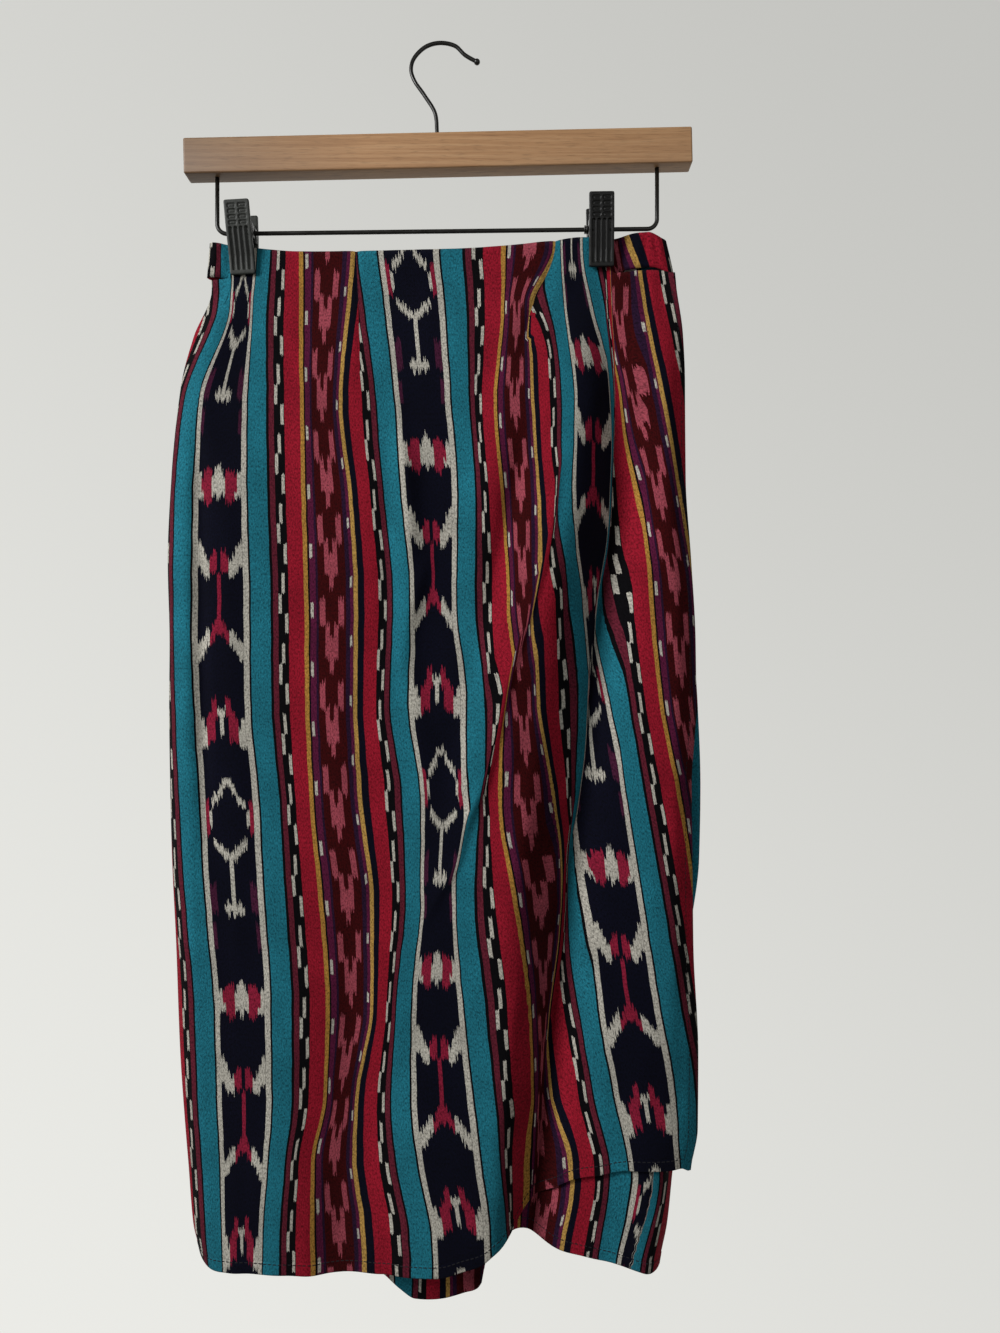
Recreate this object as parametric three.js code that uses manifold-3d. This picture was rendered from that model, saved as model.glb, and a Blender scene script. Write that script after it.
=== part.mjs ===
// A wrap midi skirt of striped ikat cotton, hanging from a wooden hanger with two clips.
// Millimetres, +Z up, and the front looks along -Y. The origin is where the hook rests on what holds it.
import * as THREE from "three";
import Module from "manifold-3d";
import { mergeVertices } from "three/addons/utils/BufferGeometryUtils.js";

const manifoldLibrary = await Module();
manifoldLibrary.setup();

// Driving dimensions
const CLOTH = 1.5; // wall thickness of each cloth panel
const SEAM_GAP = 0.3; // air between pieces that are sewn or pressed together
const UNDERLAP_STEP = 3.8; // from the middle of the over panel to the middle of the under panel
const SIDE_DEPTH = 0.8; // how far a side seam's edges stand from the plane of the hanger
const FREE_EDGE_DEPTH = 4.8; // how far the over panel's free edge stands in front of that plane
const UNDERLAP_START = 0.545; // where the under panel's inner edge hangs, as a share of the front's width
const PANEL = { width: 345, length: 700, top: -150, hem: -850 }; // a panel's rough size and levels
const CASING_HEIGHT = 24; // elastic casing of the back waist
const GATHER_PITCH = 20; // gathers of the elastic back
const GATHER_DEPTH = 1.8;

const BAR = { length: 355, height: 25, depth: 14, z: -77.9, tilt: 1.13, corner: 4, bevel: 2 };
const HOOK_WIRE = 2.8; // diameter
const FRAME_WIRE = 3;
const FRAME = { left: -156.4, right: 154.5, rodLeftZ: -133.6, rodRightZ: -130.1, bend: 7, bury: 8 };
const CLIP = { width: 17.5, height: 52, plate: 3, lug: 3, play: 0.85, swell: 4.5, pinch: 4.3, spring: 8.2 };
const CLIPS = table("side x z lean", [
  ["left", -137.4, -139.4, 4.5],
  ["right", 114.4, -134.5, 1.2],
]);

// The hook's route, from the bar to the tip
const HOOK_ROUTE = table("x z", [
  [-1.1, -76], [-1.1, -60.8], [-2.5, -48.1], [-10.2, -35.3], [-17.2, -25], [-19.4, -17.5], [-17.6, -10],
  [-9.5, -1.6], [0.4, 1.4], [11.7, -0.7], [18.7, -7.1], [27.2, -12],
]);

// The panels' side edges at each height: the over panel's left and free right edge, and the right seam
const SIDES = table("z left right seam", [
  [-140, -158.6, 160, 157.5],
  [-160, -160.8, 166, 163],
  [-174, -159.8, 167.5, 165],
  [-207, -172.4, 171.5, 168],
  [-241, -181.2, 172.7, 170],
  [-308, -188.2, 172.7, 171],
  [-365, -190.6, 176, 174.5],
  [-423, -189.3, 179, 180],
  [-466, -189.6, 179.4, 183],
  [-523, -188.9, 176.2, 185],
  [-576, -187.5, 176.8, 184],
  [-634, -184.7, 177.4, 177],
  [-709, -181.9, 180.8, 173.5],
  [-761, -178.4, 180.4, 170],
  [-790, -176, 175.6, 165.5],
  [-832, -172.6, 174, 161],
  [-857, -167, 173, 156],
  [-900, -164, 172, 150],
]);

// The upper and lower edges of each panel, by how far right of the hook they are
const OVER_TOP = table("x z", [
  [-161, -166.8], [-148, -166.5], [-143, -142.5], [-128, -145], [-97, -147.5], [-58, -147], [-9, -146],
  [44, -143.5], [81, -140], [101, -137.3], [118, -137], [124, -162.4], [140, -161.2], [155, -160.8],
  [167, -163],
]);
const OVER_HEM = table("x z", [
  [-172, -849], [-165, -854.4], [-155, -855.6], [-130, -854.2], [-103, -855.6], [-77, -858.2], [-45, -858.2],
  [-15, -857.6], [2, -857], [18, -852], [31, -848], [38, -844], [49, -842], [60, -832], [78, -815],
  [95, -800], [112, -791.4], [135, -784.6], [167, -784.8], [175, -789.5],
]);
const UNDER_TOP = table("x z", [[20, -147], [60, -146], [103, -146], [111, -166], [140, -165], [165, -167]]);
const UNDER_HEM = table("x z", [
  [20, -836], [40, -838], [49, -842.5], [64, -846.5], [82, -852], [110, -854.5], [127, -854.5],
  [138, -858], [149, -864], [154, -866.5],
]);
const BACK_TOP = table("x z", [
  [-161, -166.4], [-150, -167], [-137, -168], [-118, -170], [-60, -171], [0, -171], [60, -169.6],
  [98, -165.2], [114, -163.2], [130, -161.4], [148, -161], [158, -163], [166, -165],
]);
const BACK_HEM = table("x z", [
  [-168, -853], [-158, -860], [-110, -864], [-60, -868], [-42, -877], [-29, -889], [-18, -897], [1, -899.5],
  [21, -895.5], [27.5, -891.5], [31.5, -882], [35, -852], [45, -842], [90, -848], [130, -855], [156, -861],
]);

// How far the front and the back stand from the hanger's plane, by height
const BELLY = table("z front back", [
  [-137, -2.9, 3.4], [-168, -3, 4], [-205, -8, 8], [-260, -12, 11], [-340, -14.5, 13], [-480, -16.5, 14.5],
  [-640, -17.5, 15], [-900, -18, 15],
]);

// The front's folds, from the hanger down. Rise is towards the viewer; near is the width on the left
// side of the fold's line and far the width on its right side.
const FRONT_FOLDS = [
  fold("long diagonal ridge", 40, 20, [
    [-170, 108, 0], [-237, 105, 6], [-286, 96, 9], [-341, 85, 11], [-389, 73, 12], [-432, 56, 12],
    [-480, 39, 11], [-526, 27, 10], [-570, 21, 7], [-640, 12, 3], [-700, 8, 0],
  ]),
  fold("deep valley", 17, 17, [
    [-170, 124, 0], [-200, 124.5, -6], [-251, 126.5, -11], [-320, 128, -15], [-389, 114, -17],
    [-458, 105, -18], [-527, 97, -18.5], [-596, 88, -19], [-665, 83, -19], [-734, 75, -19],
    [-803, 66, -19.5], [-870, 58, -19.5],
  ]),
  fold("ridge beside the valley", 34, 17, [
    [-520, 64, 0], [-580, 55, 4], [-665, 47, 6], [-734, 40, 7], [-803, 36, 7], [-870, 35, 7],
  ]),
  fold("right hip bulge", 22, 20, [
    [-170, 148, 0], [-230, 150, 3], [-340, 155, 4], [-520, 150, 5], [-700, 145, 6], [-870, 140, 6],
  ]),
  fold("soft ridge from the dart", 15, 15, [
    [-225, 55, 0], [-279, 43, 3.5], [-320, 33, 4], [-352, 29, 2], [-400, 25, 0],
  ]),
  fold("pinch on the middle band", 9, 9, [
    [-270, -28, 0], [-306, -23, 3], [-350, -19, 3.5], [-390, -20, 4], [-420, -24, 3], [-486, -12, 2.5],
    [-540, -8, 0],
  ]),
  fold("flare from the left clip", 12, 16, [
    [-160, -139, 0], [-185, -146, 3], [-215, -158, 3.5], [-270, -167, 1.5], [-320, -170, 0],
  ]),
  fold("crease at the left side", 6, 6, [
    [-250, -168, 0], [-300, -166, -3.5], [-420, -164, -4], [-520, -161, -3.5], [-590, -158, 0],
  ]),
  fold("left hem wave", 28, 30, [[-480, -118, 0], [-600, -112, 3], [-720, -106, 5], [-870, -112, 6]]),
  fold("left hem trough", 24, 24, [[-560, -62, 0], [-680, -58, -3], [-800, -62, -5], [-870, -66, -5]]),
  fold("middle hem wave", 24, 24, [[-640, -20, 0], [-740, -14, 3], [-870, -10, 4]]),
];

// The back's folds: here rise is away from the viewer
const BACK_FOLDS = [
  fold("back left fold", 26, 24, [[-300, -118, 0], [-460, -122, 3], [-680, -128, 5], [-900, -130, 6]]),
  fold("back left trough", 20, 22, [[-360, -74, 0], [-560, -78, -2], [-900, -80, -3]]),
  fold("back middle fold", 30, 14, [[-240, -8, 0], [-420, 4, 4], [-640, 14, 6], [-900, 18, 8]]),
  fold("back middle trough", 12, 20, [[-400, 42, 0], [-640, 46, -2], [-900, 46, -3]]),
  fold("back right fold", 26, 26, [[-280, 96, 0], [-480, 104, 3.5], [-700, 108, 5], [-900, 106, 6]]),
];

// Rows of a table as objects with its named columns
function table(columns, rows) {
  const names = columns.split(" ");
  return rows.map((row) => Object.fromEntries(names.map((name, i) => [name, row[i]])));
}

function fold(name, near, far, rows) {
  return { name, near, far, rows: table("z x rise", rows) };
}

const clamp = (v, low, high) => Math.min(high, Math.max(low, v));
const mix = (a, b, t) => a + (b - a) * t;

// A smooth curve through one column of a table, read by another. It overshoots no row.
function curve(rows, key, value) {
  const sorted = [...rows].sort((a, b) => a[key] - b[key]);
  const ks = sorted.map((r) => r[key]);
  const vs = sorted.map((r) => r[value]);
  const steps = ks.slice(1).map((k, i) => (vs[i + 1] - vs[i]) / (k - ks[i]));
  const slopes = ks.map((_, i) => {
    if (i === 0 || i === ks.length - 1 || steps[i - 1] * steps[i] <= 0) return 0;
    return (2 * steps[i - 1] * steps[i]) / (steps[i - 1] + steps[i]);
  });
  return (k) => {
    if (k <= ks[0]) return vs[0];
    if (k >= ks[ks.length - 1]) return vs[vs.length - 1];
    const i = ks.findIndex((_, j) => ks[j + 1] >= k);
    const span = ks[i + 1] - ks[i];
    const t = (k - ks[i]) / span;
    const rise = vs[i + 1] - vs[i];
    const bend = (1 - t) * slopes[i] - t * slopes[i + 1];
    return vs[i] + rise * t * t * (3 - 2 * t) + span * t * (1 - t) * bend;
  };
}

const sideAt = {
  left: curve(SIDES, "z", "left"),
  right: curve(SIDES, "z", "right"),
  seam: curve(SIDES, "z", "seam"),
};
const bellyAt = { front: curve(BELLY, "z", "front"), back: curve(BELLY, "z", "back") };

// The sum of the folds at a point of the cloth, as a rise from its smooth form
function relief(folds) {
  const ready = folds.map((f) => ({ ...f, x: curve(f.rows, "z", "x"), rise: curve(f.rows, "z", "rise") }));
  return (x, z) =>
    ready.reduce((sum, f) => {
      const away = x - f.x(z);
      return sum + f.rise(z) * Math.exp(-((away / (away < 0 ? f.near : f.far)) ** 2));
    }, 0);
}
const frontRelief = relief(FRONT_FOLDS);
const backRelief = relief(BACK_FOLDS);

// 0 at an edge and 1 from `reach` inwards, as the cloth rounds away to its side
function rounding(inwards, reach) {
  return 1 - (1 - clamp(inwards / reach, 0, 1)) ** 2;
}

function overDepth(x, z) {
  const fromLeft = rounding(x - sideAt.left(z), 20);
  const fromRight = rounding(sideAt.right(z) - x, 16);
  const full = bellyAt.front(z) - frontRelief(x, z);
  return full * fromLeft * fromRight - SIDE_DEPTH * (1 - fromLeft) - FREE_EDGE_DEPTH * (1 - fromRight);
}

// How far the elastic back stands out in a gather
function gatherAt(x) {
  return (GATHER_DEPTH / 2) * (1 + Math.cos((2 * Math.PI * x) / GATHER_PITCH));
}

// The under panel follows the over panel's form just behind it, and turns in to the right seam
function underDepth(x, z) {
  const fromSeam = rounding(sideAt.seam(z) - x, 14);
  const steepness = Math.hypot(1, (overDepth(x + 1, z) - overDepth(x - 1, z)) / 2);
  return mix(-SIDE_DEPTH, overDepth(x, z) + UNDERLAP_STEP * steepness, fromSeam);
}

function backDepth(x, z) {
  const fromLeft = rounding(x - sideAt.left(z), 20);
  const fromSeam = rounding(sideAt.seam(z) - x, 18);
  const gathered = clamp((z + 330) / 165, 0, 1) * gatherAt(x);
  const full = bellyAt.back(z) + backRelief(x, z) + gathered;
  return SIDE_DEPTH + (full - SIDE_DEPTH) * fromLeft * fromSeam;
}

// A closed cloth wall: two skins half a wall either side of the middle surface, joined round the rim.
// middle(s, t) gives a point of the middle surface and the direction across the cloth there.
function clothWall(columns, rows, middle) {
  const across = columns.length;
  const down = rows.length;
  const front = [];
  const back = [];
  for (const t of rows)
    for (const s of columns) {
      const { point, normal } = middle(s, t);
      front.push(point.clone().addScaledVector(normal, -CLOTH / 2));
      back.push(point.clone().addScaledVector(normal, CLOTH / 2));
    }
  const positions = [...front, ...back].flatMap((p) => p.toArray());
  const faces = [];
  const quad = (a, b, c, d) => faces.push(a, b, c, a, c, d);
  const at = (i, j) => j * across + i;
  const behind = across * down;
  for (let j = 0; j < down - 1; j++)
    for (let i = 0; i < across - 1; i++) {
      quad(at(i, j), at(i, j + 1), at(i + 1, j + 1), at(i + 1, j));
      quad(behind + at(i, j), behind + at(i + 1, j), behind + at(i + 1, j + 1), behind + at(i, j + 1));
    }
  for (let i = 0; i < across - 1; i++) {
    quad(at(i, 0), at(i + 1, 0), behind + at(i + 1, 0), behind + at(i, 0));
    quad(at(i + 1, down - 1), at(i, down - 1), behind + at(i, down - 1), behind + at(i + 1, down - 1));
  }
  for (let j = 0; j < down - 1; j++) {
    quad(at(0, j + 1), at(0, j), behind + at(0, j), behind + at(0, j + 1));
    const edge = at(across - 1, j);
    quad(edge, edge + across, behind + edge + across, behind + edge);
  }
  const geometry = new THREE.BufferGeometry();
  geometry.setAttribute("position", new THREE.Float32BufferAttribute(positions, 3));
  geometry.setIndex(faces);
  return geometry;
}

// Shares of a panel's width or height, with more steps where the cloth folds more
function shares(stretches) {
  const list = [0];
  for (const { to, steps } of stretches) {
    const from = list[list.length - 1];
    for (let i = 1; i <= steps; i++) list.push(mix(from, to, i / steps));
  }
  return list;
}

// A panel of the given depth, from an upper edge to a hem. across(s, z) is its place at a share of its width
function panel({ across, top, hem, depth, columns, rows }) {
  const topAt = curve(top, "x", "z");
  const hemAt = curve(hem, "x", "z");
  const settle = (edge, s, start) => {
    let z = start;
    for (let i = 0; i < 4; i++) z = edge(across(s, z));
    return z;
  };
  const ends = new Map(columns.map((s) => [s, [settle(topAt, s, PANEL.top), settle(hemAt, s, PANEL.hem)]]));
  return clothWall(columns, rows, (s, t) => {
    const z = mix(...ends.get(s), t);
    const x = across(s, z);
    const normal = new THREE.Vector3(depth(x - 1, z) - depth(x + 1, z), 2, depth(x, z - 1) - depth(x, z + 1));
    return { point: new THREE.Vector3(x, depth(x, z), z), normal: normal.normalize() };
  });
}

const even = (steps) => shares([{ to: 1, steps }]);
const frontAcross = (s, z) => mix(sideAt.left(z), sideAt.right(z), s);
const FRONT_COLUMNS = shares([
  { to: 0.06, steps: 4 },
  { to: 0.14, steps: 4 },
  { to: 0.48, steps: 10 },
  { to: 0.9, steps: 22 },
  { to: 1, steps: 5 },
]);
const UNDER_COLUMNS = FRONT_COLUMNS.filter((s) => s >= UNDERLAP_START);
const BACK_COLUMNS = shares([{ to: 0.05, steps: 3 }, { to: 0.95, steps: 56 }, { to: 1, steps: 3 }]);
const PANEL_ROWS = shares([{ to: 0.03, steps: 2 }, { to: 0.12, steps: 4 }, { to: 1, steps: 22 }]);
const BACK_ROWS = shares([{ to: 0.03, steps: 1 }, { to: 0.25, steps: 5 }, { to: 1, steps: 11 }]);

// Each panel is one piece of cloth. Its solid is parted into six, so that collision follows its bends.
// CUT is the gap of a level cut, measured down the cloth; where the cloth slants, the parts stand closer.
const CUT = 0.8;
const PARTED = {
  over: {
    columns: FRONT_COLUMNS,
    rows: PANEL_ROWS,
    middle: FRONT_COLUMNS[18],
    upper: PANEL_ROWS[12],
    lower: PANEL_ROWS[18],
  },
  under: {
    columns: UNDER_COLUMNS,
    rows: PANEL_ROWS,
    middle: UNDER_COLUMNS[12],
    upper: PANEL_ROWS[12],
    lower: PANEL_ROWS[18],
  },
  back: {
    columns: BACK_COLUMNS,
    rows: BACK_ROWS,
    middle: BACK_COLUMNS[31],
    upper: BACK_ROWS[7],
    lower: BACK_ROWS[12],
  },
};

// The steps of a list between two of its values, with half the gap left at each cut
function stretch(list, from, to, gap, length) {
  const half = gap / 2 / length;
  const inner = list.filter((v) => v > from + 2 * half && v < to - 2 * half);
  return [from === list[0] ? from : from + half, ...inner, to === list[list.length - 1] ? to : to - half];
}

function panelParts(name, form) {
  const { columns, rows, middle, upper, lower } = PARTED[name];
  const levels = [["upper", 0, upper], ["middle", upper, lower], ["lower", lower, 1]];
  const sides = [["left", columns[0], middle], ["right", middle, 1]];
  return levels.flatMap(([level, top, bottom]) =>
    sides.map(([side, from, to]) => ({
      name: `${name}_${level}_${side}`,
      geometry: panel({
        ...form,
        columns: stretch(columns, from, to, SEAM_GAP, PANEL.width),
        rows: stretch(rows, top, bottom, CUT, PANEL.length),
      }),
    })),
  );
}

const overPanel = () =>
  panelParts("over", { across: frontAcross, top: OVER_TOP, hem: OVER_HEM, depth: overDepth });

// The under panel is made on the over panel's own columns, turned in to the right seam at its last ones
function underPanel() {
  const turnIn = (s) => clamp((s - 0.86) / 0.14, 0, 1) ** 2;
  const across = (s, z) => frontAcross(s, z) + turnIn(s) * (sideAt.seam(z) - sideAt.right(z));
  return panelParts("under", { across, top: UNDER_TOP, hem: UNDER_HEM, depth: underDepth });
}

function backPanel() {
  const across = (s, z) => mix(sideAt.left(z), sideAt.seam(z), s);
  return panelParts("back", { across, top: BACK_TOP, hem: BACK_HEM, depth: backDepth });
}

// The elastic casing: a band that comes forward round both ends, with the gathers of the elastic
const CASING_ROUTE = table("x y top spread", [
  [-139, -0.1, -144.5, 0],
  [-150, -0.1, -141.5, 0],
  [-155, -1.4, -140.8, -1],
  [-159, -1.8, -140.6, -2],
  [-161, 0, -140.8, -2],
  [-158.4, 2.6, -141, -2],
  [-149, 3.2, -142, -1],
  [-137, 3.2, -143, 0],
  [-125, 3.3, -145, 0],
  [-60, 7.6, -146, 0],
  [0, 9, -146, 0],
  [60, 7.4, -144.5, 0],
  [103, 3.3, -140, 0],
  [114, 3.1, -138, 0],
  [126, 3.2, -136, 1],
  [148, 4.4, -135, 3],
  [157, 3.6, -137.5, 5],
  [160.5, 0.4, -139, 5.5],
  [157, -3, -138, 5],
  [148, -4.4, -134.4, 3],
  [139, -4.2, -135, 1],
  [132, -1.8, -136, 0],
  [127, -0.2, -137, 0],
  [117, 0, -139, 0],
]);

function backCasing() {
  const stations = CASING_ROUTE.map((r) => new THREE.Vector3(r.x, r.y, 0));
  const line = new THREE.CatmullRomCurve3(stations, false, "centripetal");
  const place = CASING_ROUTE.map((_, i) => ({ at: i / (CASING_ROUTE.length - 1), ...CASING_ROUTE[i] }));
  const topAt = curve(place, "at", "top");
  const spreadAt = curve(place, "at", "spread");
  const beyond = (x, clip) => clamp((Math.abs(x - clip.x) - CLIP.width * 0.7) / 14, 0, 1);
  const clearOf = (x) => Math.min(...CLIPS.map((clip) => beyond(x, clip)));
  return clothWall(even(100), even(1), (s, t) => {
    const point = line.getPoint(s);
    const tangent = line.getTangent(s);
    const inwards = new THREE.Vector3(-tangent.y, tangent.x, 0);
    const free = clamp(point.y / 3, 0, 1) * clearOf(point.x);
    point.y += free * gatherAt(point.x);
    point.x += spreadAt(s) * t;
    point.z = topAt(s) - CASING_HEIGHT * t;
    return { point, normal: inwards };
  });
}

// A path whose stations are used as they are, so that a straight stretch takes one step
class Route extends THREE.Curve {
  constructor(stations) {
    super();
    this.stations = stations;
  }
  getPoint(t, target = new THREE.Vector3()) {
    const last = this.stations.length - 1;
    const i = Math.min(last - 1, Math.floor(t * last));
    return target.lerpVectors(this.stations[i], this.stations[i + 1], t * last - i);
  }
  getPointAt(u, target) {
    return this.getPoint(u, target);
  }
  getTangentAt(u, target = new THREE.Vector3()) {
    const last = this.stations.length - 1;
    const i = Math.round(u * last);
    const before = this.stations[Math.max(0, i - 1)];
    const after = this.stations[Math.min(last, i + 1)];
    return target.subVectors(after, before).normalize();
  }
}

function wireAlong(stations, diameter, sides = 8) {
  const section = new THREE.Shape();
  for (let i = 0; i < sides; i++) {
    const turn = (2 * Math.PI * i) / sides;
    section[i ? "lineTo" : "moveTo"]((Math.cos(turn) * diameter) / 2, (Math.sin(turn) * diameter) / 2);
  }
  section.closePath();
  return new THREE.ExtrudeGeometry(section, {
    steps: stations.length - 1,
    extrudePath: new Route(stations),
    curveSegments: 1,
  });
}

// Turns a closed mesh into a solid for joining and cutting, and back
function solid(geometry) {
  const bare = new THREE.BufferGeometry();
  const loose = geometry.index ? geometry.toNonIndexed() : geometry;
  bare.setAttribute("position", loose.getAttribute("position").clone());
  const merged = mergeVertices(bare, 1e-3);
  return new manifoldLibrary.Manifold(
    new manifoldLibrary.Mesh({
      numProp: 3,
      vertProperties: merged.getAttribute("position").array,
      triVerts: new Uint32Array(merged.index.array),
    }),
  );
}

function geometryOf(shape) {
  const mesh = shape.getMesh();
  const geometry = new THREE.BufferGeometry();
  geometry.setAttribute("position", new THREE.BufferAttribute(new Float32Array(mesh.vertProperties), 3));
  geometry.setIndex(new THREE.BufferAttribute(new Uint32Array(mesh.triVerts), 1));
  return geometry;
}

function cylinderZ(radius, from, to, x, sides = 10) {
  const geometry = new THREE.CylinderGeometry(radius, radius, to - from, sides);
  return geometry.rotateX(Math.PI / 2).translate(x, 0, (from + to) / 2);
}

// The bar: a planed batten with eased edges, bored for the hook above and for the wire frame below
function hangerBar() {
  const { length, height, corner, bevel, depth, z, tilt } = BAR;
  const half = length / 2 - bevel;
  const rise = height / 2 - bevel;
  const face = new THREE.Shape();
  face.moveTo(-half + corner, -rise);
  face.lineTo(half - corner, -rise);
  face.quadraticCurveTo(half, -rise, half, -rise + corner);
  face.lineTo(half, rise - corner).quadraticCurveTo(half, rise, half - corner, rise);
  face.lineTo(-half + corner, rise).quadraticCurveTo(-half, rise, -half, rise - corner);
  face.lineTo(-half, -rise + corner).quadraticCurveTo(-half, -rise, -half + corner, -rise);
  const batten = new THREE.ExtrudeGeometry(face, {
    depth: depth - 2 * bevel,
    bevelThickness: bevel,
    bevelSize: bevel,
    bevelSegments: 2,
    curveSegments: 3,
  });
  batten.translate(0, 0, -(depth / 2 - bevel)).rotateX(Math.PI / 2).rotateY(-THREE.MathUtils.degToRad(tilt));
  batten.translate(0, 0, z);
  const bore = (x, from, to, wire) => solid(cylinderZ(wire / 2 + SEAM_GAP, from, to, x));
  return geometryOf(
    solid(batten)
      .subtract(bore(HOOK_ROUTE[0].x, HOOK_ROUTE[0].z - SEAM_GAP, z + height, HOOK_WIRE))
      .subtract(bore(FRAME.left, z - height, frameTop("left") + SEAM_GAP, FRAME_WIRE))
      .subtract(bore(FRAME.right, z - height, frameTop("right") + SEAM_GAP, FRAME_WIRE)),
  );
}

// How high the wire frame's end reaches inside the bar
function frameTop(side) {
  const underside = BAR.z - BAR.height / 2 + FRAME[side] * Math.tan(THREE.MathUtils.degToRad(BAR.tilt));
  return underside + FRAME.bury;
}

function hangerHook() {
  const stations = HOOK_ROUTE.map((r) => new THREE.Vector3(r.x, 0, r.z));
  const line = new THREE.CatmullRomCurve3(stations, false, "centripetal");
  const wire = solid(wireAlong(line.getPoints(30), HOOK_WIRE));
  const tip = new THREE.SphereGeometry(HOOK_WIRE * 0.78, 8, 6);
  const last = HOOK_ROUTE[HOOK_ROUTE.length - 1];
  tip.rotateX(Math.PI / 2).translate(last.x, 0, last.z);
  return geometryOf(wire.add(solid(tip)));
}

// The wire frame: down from the bar, along under the clips, and up again
function hangerFrame() {
  const { left, right, rodLeftZ, rodRightZ, bend } = FRAME;
  const corner = (x, z, inwards) =>
    Array.from({ length: 6 }, (_, i) => {
      const turn = (Math.PI / 2) * (inwards > 0 ? i / 5 : 1 - i / 5);
      return new THREE.Vector3(x + inwards * bend * (1 - Math.cos(turn)), 0, z + bend * (1 - Math.sin(turn)));
    });
  return wireAlong(
    [
      new THREE.Vector3(left, 0, frameTop("left")),
      ...corner(left, rodLeftZ, 1),
      ...corner(right, rodRightZ, -1),
      new THREE.Vector3(right, 0, frameTop("right")),
    ],
    FRAME_WIRE,
    10,
  );
}

function rodHeight(x) {
  return mix(FRAME.rodLeftZ, FRAME.rodRightZ, (x - FRAME.left) / (FRAME.right - FRAME.left));
}

// One jaw of a clip: a pressed plate, wide at the thumb end and closing on the cloth, with two lugs that
// ride on the rod. The front jaw is at -Y and the back jaw is its mirror, with its lugs inside the others.
function clipJaw({ x, z, lean }, front) {
  const { width, height, plate, lug, play, swell, pinch } = CLIP;
  const rod = rodHeight(x) - z;
  const profile = new THREE.Shape();
  profile.moveTo(-pinch, -height / 2);
  profile.lineTo(-pinch, -height / 2 + 13);
  profile.lineTo(-pinch - swell, rod + 2);
  profile.lineTo(-pinch - swell - 2.5, height / 2);
  profile.lineTo(-pinch - swell - 2.5 - plate, height / 2);
  profile.lineTo(-pinch - swell - plate - 0.6, rod + 2);
  profile.lineTo(-pinch - plate - 0.8, -height / 2 + 12);
  profile.lineTo(-pinch - plate + 0.6, -height / 2);
  profile.closePath();
  const lugShape = new THREE.Shape();
  const reach = FRAME_WIRE / 2 + play;
  lugShape.moveTo(-pinch - swell - 0.8, rod - 5).lineTo(-1.2, rod - 4.5).lineTo(-SEAM_GAP, rod - reach - 0.8);
  lugShape.lineTo(-SEAM_GAP, rod - reach);
  for (let i = 1; i < 5; i++) {
    const turn = -Math.PI / 2 - (Math.PI * i) / 5;
    lugShape.lineTo(Math.cos(turn) * reach - SEAM_GAP, rod + Math.sin(turn) * reach);
  }
  lugShape.lineTo(-SEAM_GAP, rod + reach).lineTo(-SEAM_GAP, rod + reach + 0.8).lineTo(-1.2, rod + 4.5);
  lugShape.lineTo(-pinch - swell - 0.8, rod + 5).closePath();
  const slab = (shape, from, to) =>
    solid(
      new THREE.ExtrudeGeometry(shape, { depth: to - from, bevelEnabled: false })
        .translate(0, 0, from)
        .applyMatrix4(new THREE.Matrix4().set(0, 0, 1, 0, 1, 0, 0, 0, 0, 1, 0, 0, 0, 0, 0, 1)),
    );
  let jaw = slab(profile, -width / 2, width / 2);
  for (const side of [-1, 1]) {
    const outer = (side * width) / 2;
    const inner = outer - side * lug;
    jaw = jaw.add(slab(lugShape, Math.min(outer, inner), Math.max(outer, inner)));
  }
  const geometry = geometryOf(jaw);
  if (!front) {
    geometry.applyMatrix4(new THREE.Matrix4().makeScale(1, -1, 1));
    geometry.setIndex([...geometry.index.array].reverse());
  }
  return geometry.translate(0, 0, -rod).rotateY(-THREE.MathUtils.degToRad(lean)).translate(x, 0, z + rod);
}

// The clip's spring: a coil round the rod between the lugs, drawn as one sleeve
function clipSpring({ x, lean }) {
  const inner = FRAME_WIRE / 2 + SEAM_GAP;
  const outer = CLIP.spring / 2;
  const half = CLIP.width / 2 - CLIP.lug - SEAM_GAP;
  const profile = [[inner, -half], [outer, -half], [outer, half], [inner, half], [inner, -half]];
  const sleeve = new THREE.LatheGeometry(profile.map(([r, y]) => new THREE.Vector2(r, y)), 12);
  sleeve.rotateZ(-Math.PI / 2);
  sleeve.rotateY(-THREE.MathUtils.degToRad(lean / 4));
  return sleeve.translate(x, 0, rodHeight(x));
}

const MATERIALS = {
  cotton: new THREE.MeshStandardMaterial({ color: "#17182f", roughness: 0.92, metalness: 0 }),
  cottonInside: new THREE.MeshStandardMaterial({ color: "#2a1a28", roughness: 0.94, metalness: 0 }),
  wood: new THREE.MeshStandardMaterial({ color: "#b98d63", roughness: 0.55, metalness: 0 }),
  blackWire: new THREE.MeshStandardMaterial({ color: "#14130f", roughness: 0.4, metalness: 0.6 }),
  blackPlastic: new THREE.MeshStandardMaterial({ color: "#26261f", roughness: 0.45, metalness: 0 }),
  springSteel: new THREE.MeshStandardMaterial({ color: "#8f9296", roughness: 0.35, metalness: 0.9 }),
};

function piece(name, geometry, material) {
  const flat = geometry.index ? geometry : mergeVertices(geometry);
  flat.computeVertexNormals();
  const mesh = new THREE.Mesh(flat, material.clone());
  mesh.name = name;
  return mesh;
}

function skirt() {
  const group = new THREE.Group();
  group.add(
    ...[...overPanel(), ...underPanel()].map((part) => piece(part.name, part.geometry, MATERIALS.cotton)),
    ...backPanel().map((part) => piece(part.name, part.geometry, MATERIALS.cottonInside)),
    piece("back_waist_casing", backCasing(), MATERIALS.cotton),
  );
  return group;
}

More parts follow.
